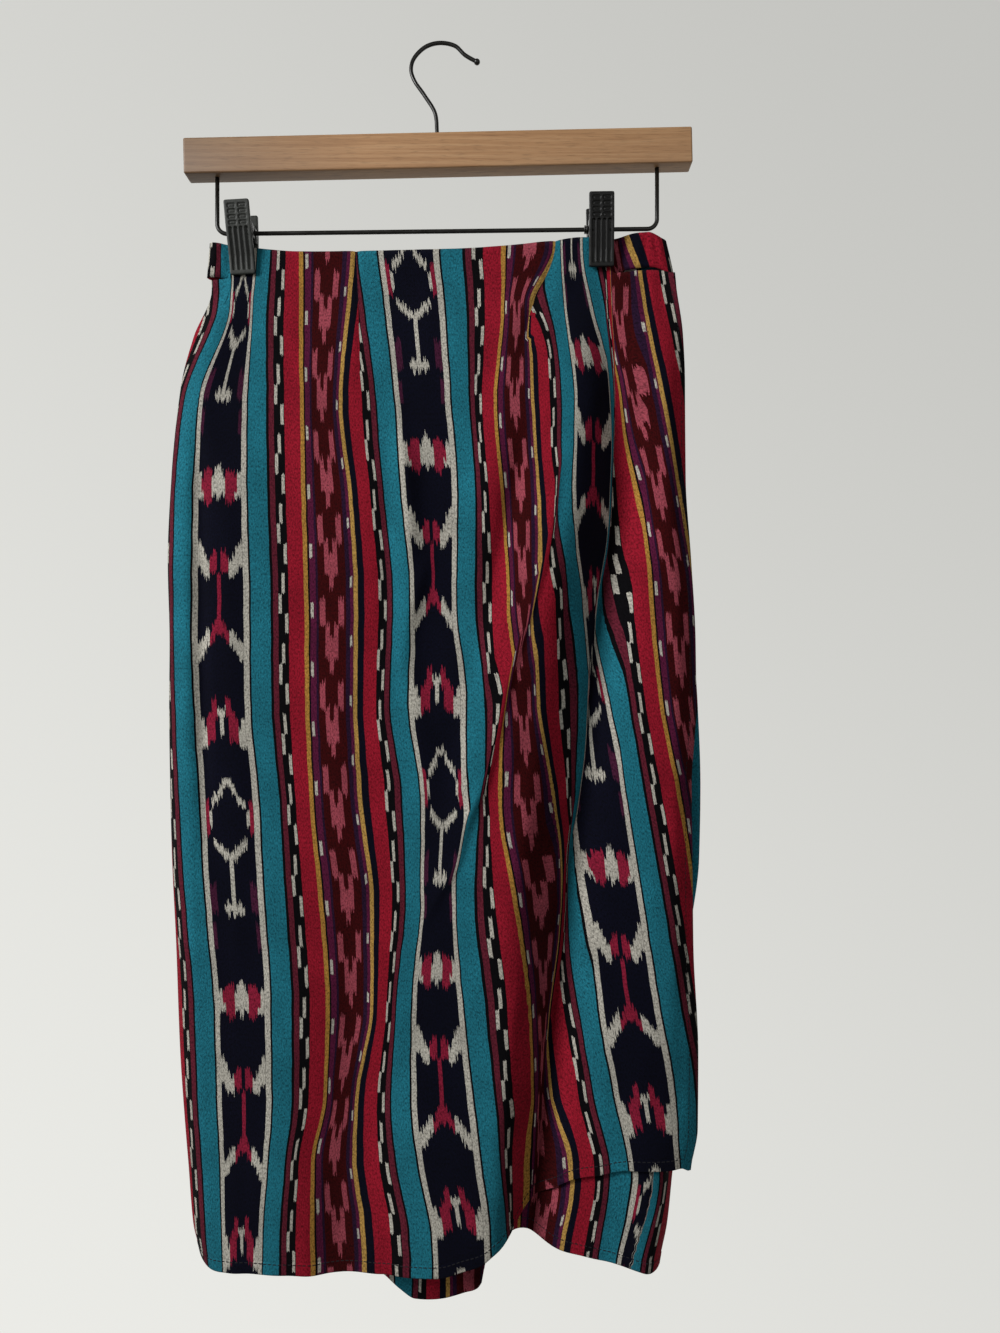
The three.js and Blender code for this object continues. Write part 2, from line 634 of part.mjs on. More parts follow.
function hanger() {
  const group = new THREE.Group();
  group.add(
    piece("hanger_bar", hangerBar(), MATERIALS.wood),
    piece("hanger_hook", hangerHook(), MATERIALS.blackWire),
    piece("hanger_frame", hangerFrame(), MATERIALS.blackWire),
  );
  for (const clip of CLIPS) {
    group.add(
      piece(`clip_${clip.side}_front`, clipJaw(clip, true), MATERIALS.blackPlastic),
      piece(`clip_${clip.side}_back`, clipJaw(clip, false), MATERIALS.blackPlastic),
      piece(`clip_${clip.side}_spring`, clipSpring(clip), MATERIALS.springSteel),
    );
  }
  return group;
}

const group = new THREE.Group();
group.add(hanger(), skirt());

export default group;
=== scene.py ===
"""A wrap midi skirt of striped ikat cotton on a wooden clip hanger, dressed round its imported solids.

Everything is in metres once it is a mesh; the tables are in millimetres, in the part's own frame: the
origin is where the hook rests, +Z is up and the front looks along -Y.
"""

from __future__ import annotations

import logging
import math
from dataclasses import dataclass, field
from enum import Enum
from typing import Any, Callable

import bmesh
import bpy
import numpy as np
from mathutils import Matrix, Vector


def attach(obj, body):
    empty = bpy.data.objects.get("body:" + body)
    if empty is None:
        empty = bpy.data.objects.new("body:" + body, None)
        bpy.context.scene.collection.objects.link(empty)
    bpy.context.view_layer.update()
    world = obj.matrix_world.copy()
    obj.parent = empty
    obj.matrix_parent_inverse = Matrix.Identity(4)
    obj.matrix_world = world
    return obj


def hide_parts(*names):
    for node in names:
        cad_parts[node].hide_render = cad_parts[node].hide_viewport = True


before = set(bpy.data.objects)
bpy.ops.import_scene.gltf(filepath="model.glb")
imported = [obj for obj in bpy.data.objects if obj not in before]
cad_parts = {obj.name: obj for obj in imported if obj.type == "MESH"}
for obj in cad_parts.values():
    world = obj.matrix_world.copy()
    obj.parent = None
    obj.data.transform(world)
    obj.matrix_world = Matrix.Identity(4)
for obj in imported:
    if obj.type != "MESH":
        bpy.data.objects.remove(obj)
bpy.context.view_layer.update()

MM = 0.001
log = logging.getLogger("skirt")

Array = np.ndarray


# Tables and curves


def table(columns: str, rows: list[list[float]]) -> list[dict[str, float]]:
    """Name the columns of a short table.

    Args:
        columns: The columns' names, parted by spaces.
        rows: The table's rows.

    Returns:
        One dict for each row.
    """
    names = columns.split()
    return [dict(zip(names, row, strict=True)) for row in rows]


class Curve:
    """A smooth curve through one column of a table, read by another; it overshoots no row."""

    def __init__(self, rows: list[dict[str, float]], key: str, value: str) -> None:
        """Keep the rows in the key's order, with a slope at each.

        Args:
            rows: The table.
            key: The column that is read by.
            value: The column that is given back.
        """
        ordered = sorted(rows, key=lambda row: row[key])
        self.keys = np.array([row[key] for row in ordered], float)
        self.values = np.array([row[value] for row in ordered], float)
        steps = np.diff(self.values) / np.diff(self.keys)
        self.slopes = np.zeros(len(self.keys))
        same = steps[:-1] * steps[1:] > 0
        both = np.where(same, steps[:-1] + steps[1:], 1.0)
        self.slopes[1:-1] = np.where(same, 2 * steps[:-1] * steps[1:] / both, 0.0)

    def __call__(self, key: Array | float) -> Array:
        """Read the curve at one place or at many.

        Args:
            key: Where it is read. Past the table's ends it holds the end's value.

        Returns:
            The value at each place.
        """
        k = np.clip(np.asarray(key, float), self.keys[0], self.keys[-1])
        i = np.clip(np.searchsorted(self.keys, k) - 1, 0, len(self.keys) - 2)
        span = self.keys[i + 1] - self.keys[i]
        t = (k - self.keys[i]) / span
        rise = self.values[i + 1] - self.values[i]
        bend = (1 - t) * self.slopes[i] - t * self.slopes[i + 1]
        return self.values[i] + rise * t * t * (3 - 2 * t) + span * t * (1 - t) * bend


@dataclass(frozen=True)
class Fold:
    """One fold or crease: where its line runs, how far it rises, and its width on each side of the line."""

    name: str
    near: float  # its width to the left of the line, and to the right
    far: float
    rows: list[list[float]]  # points of the line: height, place across and rise
    sharp: float = 2.0  # how its section falls off; below 2 its line is pinched

    def rise_at(self, x: Array, z: Array) -> Array:
        """How far the cloth rises at each place because of this fold.

        Args:
            x: Places across, in millimetres.
            z: Heights.

        Returns:
            The rise at each place.
        """
        rows = table("z x rise", self.rows)
        away = x - Curve(rows, "z", "x")(z)
        width = np.where(away < 0, self.near, self.far)
        return Curve(rows, "z", "rise")(z) * np.exp(-(np.abs(away / width) ** self.sharp))


def relief(folds: list[Fold], x: Array, z: Array) -> Array:
    """The sum of some folds at each place of the cloth."""
    return sum((fold.rise_at(x, z) for fold in folds), np.zeros_like(x))


def rounding(inwards: Array, reach: float) -> Array:
    """0 at an edge and 1 from reach inwards, as cloth rounds away to its side."""
    return 1 - (1 - np.clip(inwards / reach, 0, 1)) ** 2


def ease(t: Array) -> Array:
    """0 up to t = 0, 1 from t = 1, and smooth between."""
    t = np.clip(t, 0, 1)
    return t * t * (3 - 2 * t)


# The skirt's form, as its solids have it

SIDES = table(
    "z left right seam",
    [
        [-140, -158.6, 160, 157.5],
        [-160, -160.8, 166, 163],
        [-174, -159.8, 167.5, 165],
        [-207, -172.4, 171.5, 168],
        [-241, -181.2, 172.7, 170],
        [-308, -188.2, 172.7, 171],
        [-365, -190.6, 176, 174.5],
        [-423, -189.3, 179, 180],
        [-466, -189.6, 179.4, 183],
        [-523, -188.9, 176.2, 185],
        [-576, -187.5, 176.8, 184],
        [-634, -184.7, 177.4, 177],
        [-709, -181.9, 180.8, 173.5],
        [-761, -178.4, 180.4, 170],
        [-790, -176, 175.6, 165.5],
        [-832, -172.6, 174, 161],
        [-857, -167, 173, 156],
        [-900, -164, 172, 150],
    ],
)
OVER_TOP = table(
    "x z",
    [
        [-161, -166.8], [-148, -166.5], [-143, -142.5], [-128, -145], [-97, -147.5], [-58, -147], [-9, -146],
        [44, -143.5], [81, -140], [101, -137.3], [118, -137], [124, -162.4], [140, -161.2], [155, -160.8],
        [167, -163],
    ],
)
OVER_HEM = table(
    "x z",
    [
        [-172, -849], [-165, -854.4], [-155, -855.6], [-130, -854.2], [-103, -855.6], [-77, -858.2],
        [-45, -858.2], [-15, -857.6], [2, -857], [18, -852], [31, -848], [38, -843], [49, -837], [60, -824],
        [78, -806], [95, -793], [112, -788.4], [135, -784.2], [167, -784.8], [175, -789.5],
    ],
)
UNDER_TOP = table("x z", [[20, -147], [60, -146], [103, -146], [111, -166], [140, -165], [165, -167]])
UNDER_HEM = table(
    "x z",
    [
        [20, -833], [40, -835], [49, -837.5], [64, -840.5], [82, -844], [110, -848.5], [127, -851.5],
        [138, -854.5], [149, -858.5], [154, -860.5],
    ],
)
BACK_TOP = table(
    "x z",
    [
        [-161, -166.4], [-150, -167], [-137, -168], [-118, -170], [-60, -171], [0, -171], [60, -169.6],
        [98, -165.2], [114, -163.2], [130, -161.4], [148, -161], [158, -163], [166, -165],
    ],
)
BACK_HEM = table(
    "x z",
    [
        [-168, -853], [-158, -860], [-110, -864], [-60, -868], [-42, -877], [-29, -889], [-18, -897],
        [1, -899.5], [21, -895.5], [27.5, -891.5], [31.5, -882], [35, -852], [45, -842], [90, -848],
        [130, -855], [156, -861],
    ],
)
BELLY = table(
    "z front back",
    [
        [-137, -2.9, 3.4], [-168, -3, 4], [-205, -8, 8], [-260, -12, 11], [-340, -14.5, 13],
        [-480, -16.5, 14.5], [-640, -17.5, 15], [-900, -18, 15],
    ],
)
CASING_ROUTE = table(
    "x y top spread",
    [
        [-139, -0.1, -144.5, 0], [-150, -0.1, -141.5, 0], [-155, -1.4, -140.8, -1], [-159, -1.8, -140.6, -2],
        [-161, 0, -140.8, -2], [-158.4, 2.6, -141, -2], [-149, 3.2, -142, -1], [-137, 3.2, -143, 0],
        [-125, 3.3, -145, 0], [-60, 7.6, -146, 0], [0, 9, -146, 0], [60, 7.4, -144.5, 0],
        [103, 3.3, -140, 0], [114, 3.1, -138, 0], [126, 3.2, -136, 1], [148, 4.4, -135, 3],
        [157, 3.6, -137.5, 5], [160.5, 0.4, -139, 5.5], [157, -3, -138, 5], [148, -4.4, -134.4, 3],
        [139, -4.2, -135, 1], [132, -1.8, -136, 0], [127, -0.2, -137, 0], [117, 0, -139, 0],
    ],
)

# The front's folds, as its solid has them. Rise is towards the viewer.
FRONT_FOLDS = [
    Fold("long diagonal ridge", 40, 20, [
        [-170, 108, 0], [-237, 105, 6], [-286, 96, 9], [-341, 85, 11], [-389, 73, 12], [-432, 56, 12],
        [-480, 39, 11], [-526, 27, 10], [-570, 21, 7], [-640, 12, 3], [-700, 8, 0],
    ]),
    Fold("deep valley", 17, 17, [
        [-170, 124, 0], [-200, 124.5, -6], [-251, 126.5, -11], [-320, 128, -15], [-389, 114, -17],
        [-458, 105, -18], [-527, 97, -18.5], [-596, 88, -19], [-665, 83, -19], [-734, 75, -19],
        [-803, 66, -19.5], [-870, 58, -19.5],
    ]),
    Fold("ridge beside the valley", 34, 17, [
        [-520, 64, 0], [-580, 55, 4], [-665, 47, 6], [-734, 40, 7], [-803, 36, 7], [-870, 35, 7],
    ]),
    Fold("right hip bulge", 22, 20, [
        [-170, 148, 0], [-230, 150, 3], [-340, 155, 4], [-520, 150, 5], [-700, 145, 6], [-870, 140, 6],
    ]),
    Fold("soft ridge from the dart", 15, 15, [
        [-225, 55, 0], [-279, 43, 3.5], [-320, 33, 4], [-352, 29, 2], [-400, 25, 0],
    ]),
    Fold("pinch on the middle band", 9, 9, [
        [-270, -28, 0], [-306, -23, 3], [-350, -19, 3.5], [-390, -20, 4], [-420, -24, 3], [-486, -12, 2.5],
        [-540, -8, 0],
    ]),
    Fold("flare from the left clip", 12, 16, [
        [-160, -139, 0], [-185, -146, 3], [-215, -158, 3.5], [-270, -167, 1.5], [-320, -170, 0],
    ]),
    Fold("crease at the left side", 6, 6, [
        [-250, -168, 0], [-300, -166, -3.5], [-420, -164, -4], [-520, -161, -3.5], [-590, -158, 0],
    ]),
    Fold("left hem wave", 28, 30, [[-480, -118, 0], [-600, -112, 3], [-720, -106, 5], [-870, -112, 6]]),
    Fold("left hem trough", 24, 24, [[-560, -62, 0], [-680, -58, -3], [-800, -62, -5], [-870, -66, -5]]),
    Fold("middle hem wave", 24, 24, [[-640, -20, 0], [-740, -14, 3], [-870, -10, 4]]),
]
# The back's folds: here rise is away from the viewer of the front.
BACK_FOLDS = [
    Fold("back left fold", 26, 24, [[-300, -118, 0], [-460, -122, 3], [-680, -128, 5], [-900, -130, 6]]),
    Fold("back left trough", 20, 22, [[-360, -74, 0], [-560, -78, -2], [-900, -80, -3]]),
    Fold("back middle fold", 30, 14, [[-240, -8, 0], [-420, 4, 4], [-640, 14, 6], [-900, 18, 8]]),
    Fold("back middle trough", 12, 20, [[-400, 42, 0], [-640, 46, -2], [-900, 46, -3]]),
    Fold("back right fold", 26, 26, [[-280, 96, 0], [-480, 104, 3.5], [-700, 108, 5], [-900, 106, 6]]),
]
# Soft creases that only the finished cloth has
FRONT_CREASES = [
    Fold("pinched edge of the diagonal ridge", 5, 2.2, [
        [-286, 87, 0], [-316, 83.1, 1.4], [-369, 74, 2], [-397, 65.9, 2], [-450, 49.7, 2.4],
        [-488, 41.6, 2.2], [-525, 30.5, 2.2], [-545, 21.4, 2], [-573, 14.3, 1.8], [-600, 0, 1.2],
        [-632, -12, 0],
    ], sharp=1.4),
    Fold("hollow right of the pinched edge", 4, 9, [
        [-310, 86, 0], [-397, 69, -1], [-450, 53, -1.2], [-525, 34, -1.2], [-573, 18, -1], [-620, 5, 0],
    ]),
    Fold("fullness right of the ridge", 17, 14, [
        [-370, 88, 0], [-450, 74, 6], [-525, 62, 7.5], [-600, 50, 6], [-660, 40, 2], [-720, 34, 0],
    ]),
    Fold("valley left of the ridge", 8, 12, [
        [-250, 68, 0], [-290, 60, -2.5], [-322, 52, -4.5], [-347, 47, -5], [-369, 42, -4.5], [-400, 37, -2.5],
        [-430, 34, 0],
    ]),
    Fold("core of the deep valley, high", 8, 8, [
        [-180, 116, -2], [-250, 121, -4], [-357, 120, -5], [-395, 113, -4], [-440, 109, 0],
    ], sharp=1.5),
    Fold("core of the deep valley, middle", 5, 15, [
        [-360, 118, 0], [-405, 112, -4], [-438, 109, -5.5], [-498, 105, -6], [-567, 92, -5], [-620, 88, 0],
    ], sharp=1.6),
    Fold("core of the deep valley, low", 12, 8, [
        [-560, 92, 0], [-600, 90, -4], [-632, 88, -5], [-696, 76.3, -5], [-761, 71, -5], [-815, 67.6, -5],
        [-860, 62, -5],
    ], sharp=1.6),
    Fold("crest left of the middle core", 9, 4, [
        [-340, 108, 0], [-400, 103, 2], [-438, 101, 3], [-498, 97, 3.5], [-560, 86, 3], [-610, 78, 0],
    ]),
    Fold("crest left of the low core", 9, 6, [
        [-560, 66, 0], [-632, 60, 2], [-696, 53, 3], [-761, 49, 3], [-815, 46, 3], [-860, 43, 3],
    ]),
    Fold("upper pinch of the middle band", 4, 6, [
        [-225, -34, 0], [-262, -28, 1.6], [-306, -22, 2.6], [-345, -19, 1.8], [-380, -21, 0],
    ], sharp=1.3),
    Fold("hollow left of the middle band", 7, 5, [
        [-280, -40, 0], [-330, -34, -1.8], [-390, -34, -2], [-440, -30, -1.4], [-500, -22, 0],
    ]),
    Fold("short crease under the pinch", 5, 6, [
        [-352, -5, 0], [-372, -9, 1.6], [-396, -16, 2.2], [-425, -22, 1.2], [-450, -26, 0],
    ]),
    Fold("drag line to the left clip", 5, 7, [
        [-166, -128, 0], [-190, -122, 1.2], [-230, -112, 1], [-290, -104, 0],
    ]),
    Fold("second drag line", 6, 6, [[-168, -118, 0], [-200, -106, 0.9], [-240, -92, 0.6], [-280, -84, 0]]),
    Fold("hollow beside the diagonal ridge", 12, 9, [
        [-330, 52, 0], [-390, 40, -2], [-450, 22, -2.6], [-520, 6, -2], [-600, -6, 0],
    ]),
    Fold("crease across the ridge", 7, 6, [[-470, 60, 0], [-500, 50, 1.6], [-545, 44, 1.4], [-600, 40, 0]]),
    Fold("left side ripple", 9, 10, [
        [-260, -150, 0], [-340, -146, 1.2], [-470, -142, 1.4], [-600, -138, 0.8], [-700, -136, 0],
    ]),
    Fold("middle ripple", 14, 12, [[-420, -72, 0], [-520, -70, 1.3], [-640, -74, 1.1], [-740, -80, 0]]),
    Fold("right side ripple", 7, 7, [
        [-205, 160, 0], [-260, 158, 1.2], [-360, 164, 1], [-480, 166, 1.3], [-640, 162, 1.5],
        [-780, 158, 1.2],
    ]),
    Fold("gather under the right casing", 3.5, 3.5, [[-160, 139, 0.6], [-185, 140, 0.9], [-230, 142, 0]]),
    Fold("second gather under the right casing", 3, 4, [[-160, 150, 0.7], [-178, 151, 0.9], [-215, 153, 0]]),
    Fold("lower right fold", 8, 8, [[-660, 118, 0], [-720, 116, 1.6], [-790, 112, 2], [-860, 108, 2]]),
    Fold("hem flute", 8, 9, [[-770, -136, 0], [-815, -137, 1.4], [-860, -138, 1.8]]),
    Fold("second hem flute", 9, 8, [[-780, -88, 0], [-820, -88, 1.2], [-860, -87, 1.6]]),
    Fold("third hem flute", 8, 8, [[-790, -34, 0], [-830, -34, -1], [-860, -33, -1.5]]),
]
DART_CREASES = [
    Fold("left dart", 1.6, 2.2, [[-143, -58, -1.3], [-187, -56, -1.1], [-220, -54.5, -0.7], [-262, -54, 0]]),
    Fold("right dart", 1.6, 2.2, [[-141, 82.5, -1.4], [-187, 66, -1.4], [-205, 61, -1], [-240, 55, 0]]),
    Fold("fullness left of the left dart", 9, 7, [[-150, -68, 0.5], [-200, -66, 1], [-270, -60, 0]]),
    Fold("fullness left of the right dart", 9, 8, [
        [-150, 72, 0.6], [-190, 56, 1.4], [-250, 48, 1], [-300, 40, 0],
    ]),
    Fold("fullness right of the right dart", 7, 9, [
        [-150, 92, 0.5], [-190, 78, 1.5], [-250, 72, 0.8], [-300, 70, 0],
    ]),
]
BACK_CREASES = [
    Fold("back crease left", 7, 8, [[-240, -96, 0], [-330, -100, 1.4], [-470, -96, 1.2], [-600, -92, 0]]),
    Fold("back crease middle", 8, 7, [[-300, -34, 0], [-400, -38, -1.5], [-560, -42, -1.2], [-700, -48, 0]]),
    Fold("back crease right", 7, 9, [[-260, 66, 0], [-350, 70, 1.5], [-520, 78, 1.6], [-690, 80, 0]]),
    Fold("back crease low", 9, 8, [[-560, 136, 0], [-680, 138, 1.5], [-800, 134, 1.6], [-900, 132, 1.8]]),
    Fold("back drag line", 6, 6, [[-170, 110, 0], [-210, 124, 1.2], [-280, 140, 0.8], [-340, 148, 0]]),
    Fold("second back drag line", 6, 6, [[-170, -134, 0], [-215, -146, 1.2], [-290, -158, 0]]),
]


@dataclass(frozen=True)
class SkirtForm:
    """Where the skirt's cloth hangs: the depth of each panel at each place, in millimetres.

    Depths are less than 0 before the hanger's plane.
    """

    side_depth: float = 0.8  # how far from the hanger's plane the sides lie
    free_edge_depth: float = 4.8
    free_edge_flare: float = 6.0  # how much further the loose edge hangs forward below the hip
    flare_start: float = -240.0
    flare_length: float = 160.0
    underlap_step: float = 3.8  # from the over panel back to the under panel
    left_round: float = 20.0  # how far in from a side the cloth rounds away
    right_round: float = 16.0
    under_round: float = 14.0
    back_round: float = 18.0
    gather_pitch: float = 20.0
    gather_depth: float = 1.8
    gather_end: float = -330.0  # where the gathers have run out, and how far up they grow to full
    gather_growth: float = 165.0

    left = Curve(SIDES, "z", "left")
    right = Curve(SIDES, "z", "right")
    seam = Curve(SIDES, "z", "seam")
    front = Curve(BELLY, "z", "front")
    back = Curve(BELLY, "z", "back")

    def over(self, x: Array, z: Array) -> Array:
        """The depth of the over panel.

        Args:
            x: Places across.
            z: Heights.

        Returns:
            The depth at each place.
        """
        creases = relief(FRONT_CREASES, x, z) + relief(DART_CREASES, x, z) + limp(x, z)
        inner = self._from_left(x, z) * self._from_right(x, z)
        low = ease((self.flare_start - z) / self.flare_length)
        flare = self.free_edge_flare * low * (1 - self._from_right(x, z))
        return self._over_solid(x, z) - creases * inner - flare

    def under(self, x: Array, z: Array) -> Array:
        """The depth of the under panel, which follows the over panel just behind it.

        Args:
            x: Places across.
            z: Heights.

        Returns:
            The depth at each place.
        """
        from_seam = rounding(self.seam(z) - x, self.under_round)
        steepness = np.hypot(1, (self._over_solid(x + 1, z) - self._over_solid(x - 1, z)) / 2)
        step = self.underlap_step * steepness
        behind = self._over_solid(x, z) + step - 0.5 * relief(FRONT_CREASES, x, z)
        return -self.side_depth * (1 - from_seam) + behind * from_seam

    def behind(self, x: Array, z: Array) -> Array:
        """The depth of the back panel, gathered on its elastic.

        Args:
            x: Places across.
            z: Heights.

        Returns:
            The depth at each place.
        """
        from_seam = rounding(self.seam(z) - x, self.back_round)
        held = np.clip((z - self.gather_end) / self.gather_growth, 0, 1)
        puckers = 2 * np.pi * x / (self.gather_pitch * 0.31) + 2 * np.sin(x / 17)
        fine = 0.5 * held**2 * np.cos(puckers)
        folds = relief(BACK_FOLDS, x, z) + relief(BACK_CREASES, x, z)
        full = self.back(z) + folds + held * self.gather_at(x) + fine
        return self.side_depth + (full - self.side_depth) * self._from_left(x, z) * from_seam

    def gather_at(self, x: Array) -> Array:
        """How far the elastic back stands out in a gather."""
        return self.gather_depth / 2 * (1 + np.cos(2 * np.pi * x / self.gather_pitch))

    def _from_left(self, x: Array, z: Array) -> Array:
        """0 at the left side and 1 where the cloth has rounded away from it."""
        return rounding(x - self.left(z), self.left_round)

    def _from_right(self, x: Array, z: Array) -> Array:
        """0 at the front's right edge and 1 where the cloth has rounded away from it."""
        return rounding(self.right(z) - x, self.right_round)

    def _over_solid(self, x: Array, z: Array) -> Array:
        """The depth of the over panel without its finer creases.

        Args:
            x: Places across.
            z: Heights.

        Returns:
            The depth at each place.
        """
        from_left, from_right = self._from_left(x, z), self._from_right(x, z)
        full = self.front(z) - relief(FRONT_FOLDS, x, z)
        edges = self.side_depth * (1 - from_left) + self.free_edge_depth * (1 - from_right)
        return full * from_left * from_right - edges


def limp(x: Array, z: Array) -> Array:
    """The slight unevenness of limp cotton, a few tenths of a millimetre.

    Args:
        x: Places across, in millimetres.
        z: Heights.

    Returns:
        The rise at each place.
    """
    slow = np.sin(x / 13 + 1.3 * np.sin(z / 47)) * np.sin(z / 71 + 0.8 * np.sin(x / 19))
    quick = np.sin(x / 5.3 + 1.1 * np.sin(z / 23)) * np.sin(z / 31 + 1.9 * np.sin(x / 11))
    return 0.45 * slow + 0.16 * quick


# Which stripe of the cloth lies where


class Stripe(Enum):
    """The stripes whose places are charted, by how far across the cloth they are from a navy band, in mm."""

    TEAL_LEFT = -26.8
    TEAL_A = 26.8
    ORANGE_A = 58.3
    YELLOW_A = 93.1
    TEAL_B = 127.5
    TEAL_C = 180.7
    ORANGE_B = 212.2
    YELLOW_B = 246.9
    TEAL_D = 281.4
    TEAL_E = 334.6
    BROWN_C = 384.3
    RED_C = 412.3


OVER_STRIPES = table(
    "z " + " ".join(stripe.name for stripe in Stripe),
    [
        [-143, -150, -124, -97, -60.7, -50.8, 9, 45.6, 81.6, 83.4, 104, 131, 148],
        [-187, -148, -126.6, -96.2, -63.1, -45.5, 12.5, 45.6, 64, 84.9, 109.7, 131.8, 154],
        [-256, -171.8, -125.9, -94.2, -67.6, -36.9, 16.9, 40.1, 65.9, 90.4, 121, 141, 167],
        [-325, -178, -124.2, -92.8, -60, -31.3, 21.4, 45.2, 69.7, 89, 120.8, 154, 178],
        [-394, -178.7, -121.7, -90.7, -56.3, -24.1, 19.4, 49.7, 66.8, 95.3, 117.7, 164.6, 189],
        [-463, -176.6, -121.1, -89.7, -56.6, -26.9, 28, 49, 69, 98.4, 126.3, 169.5, 191],
        [-532, -172.8, -114.5, -86.6, -53.1, -16.9, 26.6, 43, 80.3, 95.9, 136.7, 184, 206],
        [-601, -167.8, -110.4, -80, -45, -15.8, 18.2, 54, 84, 97.7, 148.4, 196, 218],
        [-670, -161.4, -105.9, -75.4, -44.8, -23.8, 24.9, 62.5, 79.4, 102.8, 160.1, 207, 230],
        [-739, -158.9, -105.3, -77.5, -56.1, -25.8, 34.2, 63.1, 82.1, 114.8, 171.8, 219, 242],
        [-780, -155.9, -108.8, -85.5, -57.9, -21, 39.2, 58, 91.8, 124.9, 173.2, 221, 245],
        [-828, -153.4, -113.1, -85.8, -52, -11, 44.2, 56, 94, 128, 176, 224, 248],
        [-860, -152, -113.5, -85.6, -50.5, -9.5, 44.5, 56, 95, 129, 177, 225, 249],
    ],
)
UNDER_STATIONS = {
    "teal_c": 180.7, "orange_b": 212.2, "yellow_b": 246.9, "teal_d": 281.4, "white": 291.5, "fold_in": 303.0,
    "fold_out": 332.0, "maroon": 346.0, "red": 360.0, "dashes": 421.0, "teal_f": 435.3,
}
UNDER_STRIPES = table(
    "z " + " ".join(UNDER_STATIONS),
    [
        [-150, 10, 45, 80, 100, 112, 122, 122.6, 132, 145, 156, 166],
        [-440, 20, 48, 70, 96, 104, 112, 112.6, 122, 140, 179, 189],
        [-540, 26, 46, 80, 96, 104, 112, 112.6, 122, 140, 169, 181.5],
        [-640, 24, 60, 82, 102, 110, 118, 118.6, 128, 145, 175, 185],
        [-790, 40, 58, 94, 125, 137.5, 147.5, 148.2, 155, 165, 200, 212],
        [-866, 46, 55, 84, 116, 125, 131.5, 132.2, 141, 153, 190, 202],
    ],
)
# The casing's stripes: how far across the cloth some places of its route are, counted in rows of the route
CASING_STRIPES = table(
    "station across",
    [
        [0, -22], [1, -26.8], [2, -36], [3, -40], [4, -44], [5, -48], [7, -78], [9, -200], [10, -290],
        [11, -380], [13, -462], [16, -492], [17, -499], [17.4, -502.6], [18, -505.4], [19, -510.9],
        [20, -516.7], [21, -522.5], [21.5, -525], [22, -529], [23, -542],
    ],
)


HOLD_LENGTH = 60.0  # over which a dart or a lap draws its grid column in


@dataclass(frozen=True)
class Dart:
    """A stitched dart: its grid column, the stripes on either side, and how much cloth it takes."""

    column: int
    before: Stripe
    rows: list[list[float]]  # points of its seam: height, place across and cloth taken

    def take(self, z: Array) -> Array:
        """The cloth that the dart takes up."""
        return Curve(table("z x take", self.rows), "z", "take")(z)

    def line(self, z: Array) -> Array:
        """Where the dart's seam runs."""
        return Curve(table("z x take", self.rows), "z", "x")(z)

    def end(self) -> float:
        """The height of the dart's point."""
        return min(row[0] for row in self.rows)

    def hold(self, z: Array) -> Array:
        """How firmly the grid's column keeps to the dart."""
        return ease((z - self.end() + HOLD_LENGTH) / HOLD_LENGTH)


OVER_COLUMNS = 200
LEFT_DART = Dart(68, Stripe.YELLOW_A, [[-143, -58, 24], [-187, -56, 16], [-220, -54.5, 7], [-248, -54, 0]])
RIGHT_DART = Dart(143, Stripe.YELLOW_B, [[-141, 82.5, 33], [-187, 66, 17], [-205, 61, 7], [-222, 57, 0]])
DARTS = [LEFT_DART, RIGHT_DART]


@dataclass(frozen=True)
class Lap:
    """A sharp fold that laps loose cloth: its grid column, its line, and how much cloth it hides."""

    column: int
    start: float  # the height at which the column begins to keep to it
    reach: float  # how far on each side of its edge it moves the stripes
    rows: list[list[float]]  # points of its edge: height, place across and cloth hidden
    edge: float = 1.1

    def line(self, z: Array) -> Array:
        """Where the fold's edge runs."""
        return Curve(table("z x take", self.rows), "z", "x")(z)

    def hold(self, z: Array) -> Array:
        """How firmly the grid's column keeps to the edge."""
        return ease((self.start - z) / HOLD_LENGTH)

    def hidden(self, x: Array, z: Array) -> Array:
        """What the lap adds to the cloth's own measure: less left of the edge, more right of it.

        Args:
            x: Places across, in millimetres.
            z: Heights.

        Returns:
            Millimetres across the cloth.
        """
        away = x - self.line(z)
        take = Curve(table("z x take", self.rows), "z", "take")(z)
        near = np.clip(1 - np.abs(away) / self.reach, 0, 1)
        return take / 2 * np.clip(away / self.edge, -1, 1) * near


LAPS = [
    Lap(124, -235, 14, [
        [-286, 87, 0], [-316, 83.1, 9], [-341, 80.1, 12], [-369, 74, 11], [-397, 65.9, 10], [-450, 49.7, 17],
        [-488, 41.6, 12], [-525, 30.5, 8], [-545, 21.4, 7], [-573, 14.3, 6], [-600, 0, 4], [-632, -12, 0],
    ]),
    Lap(156, 0, 22, [
        [-140, 121, 18], [-187, 122, 26], [-221, 123.5, 29], [-256, 124, 29], [-316, 122, 27],
        [-350, 120, 25], [-381, 114.5, 23], [-410, 110.5, 22], [-438, 108.4, 21], [-498, 104.7, 20],
        [-539, 98.3, 16], [-567, 92.5, 20], [-632, 88, 17], [-696, 76.3, 15], [-761, 70.9, 14],
        [-815, 67.6, 13], [-860, 62, 13],
    ]),
]
LOOSE = 1.02  # cloth across for each millimetre seen, past the charted stripes


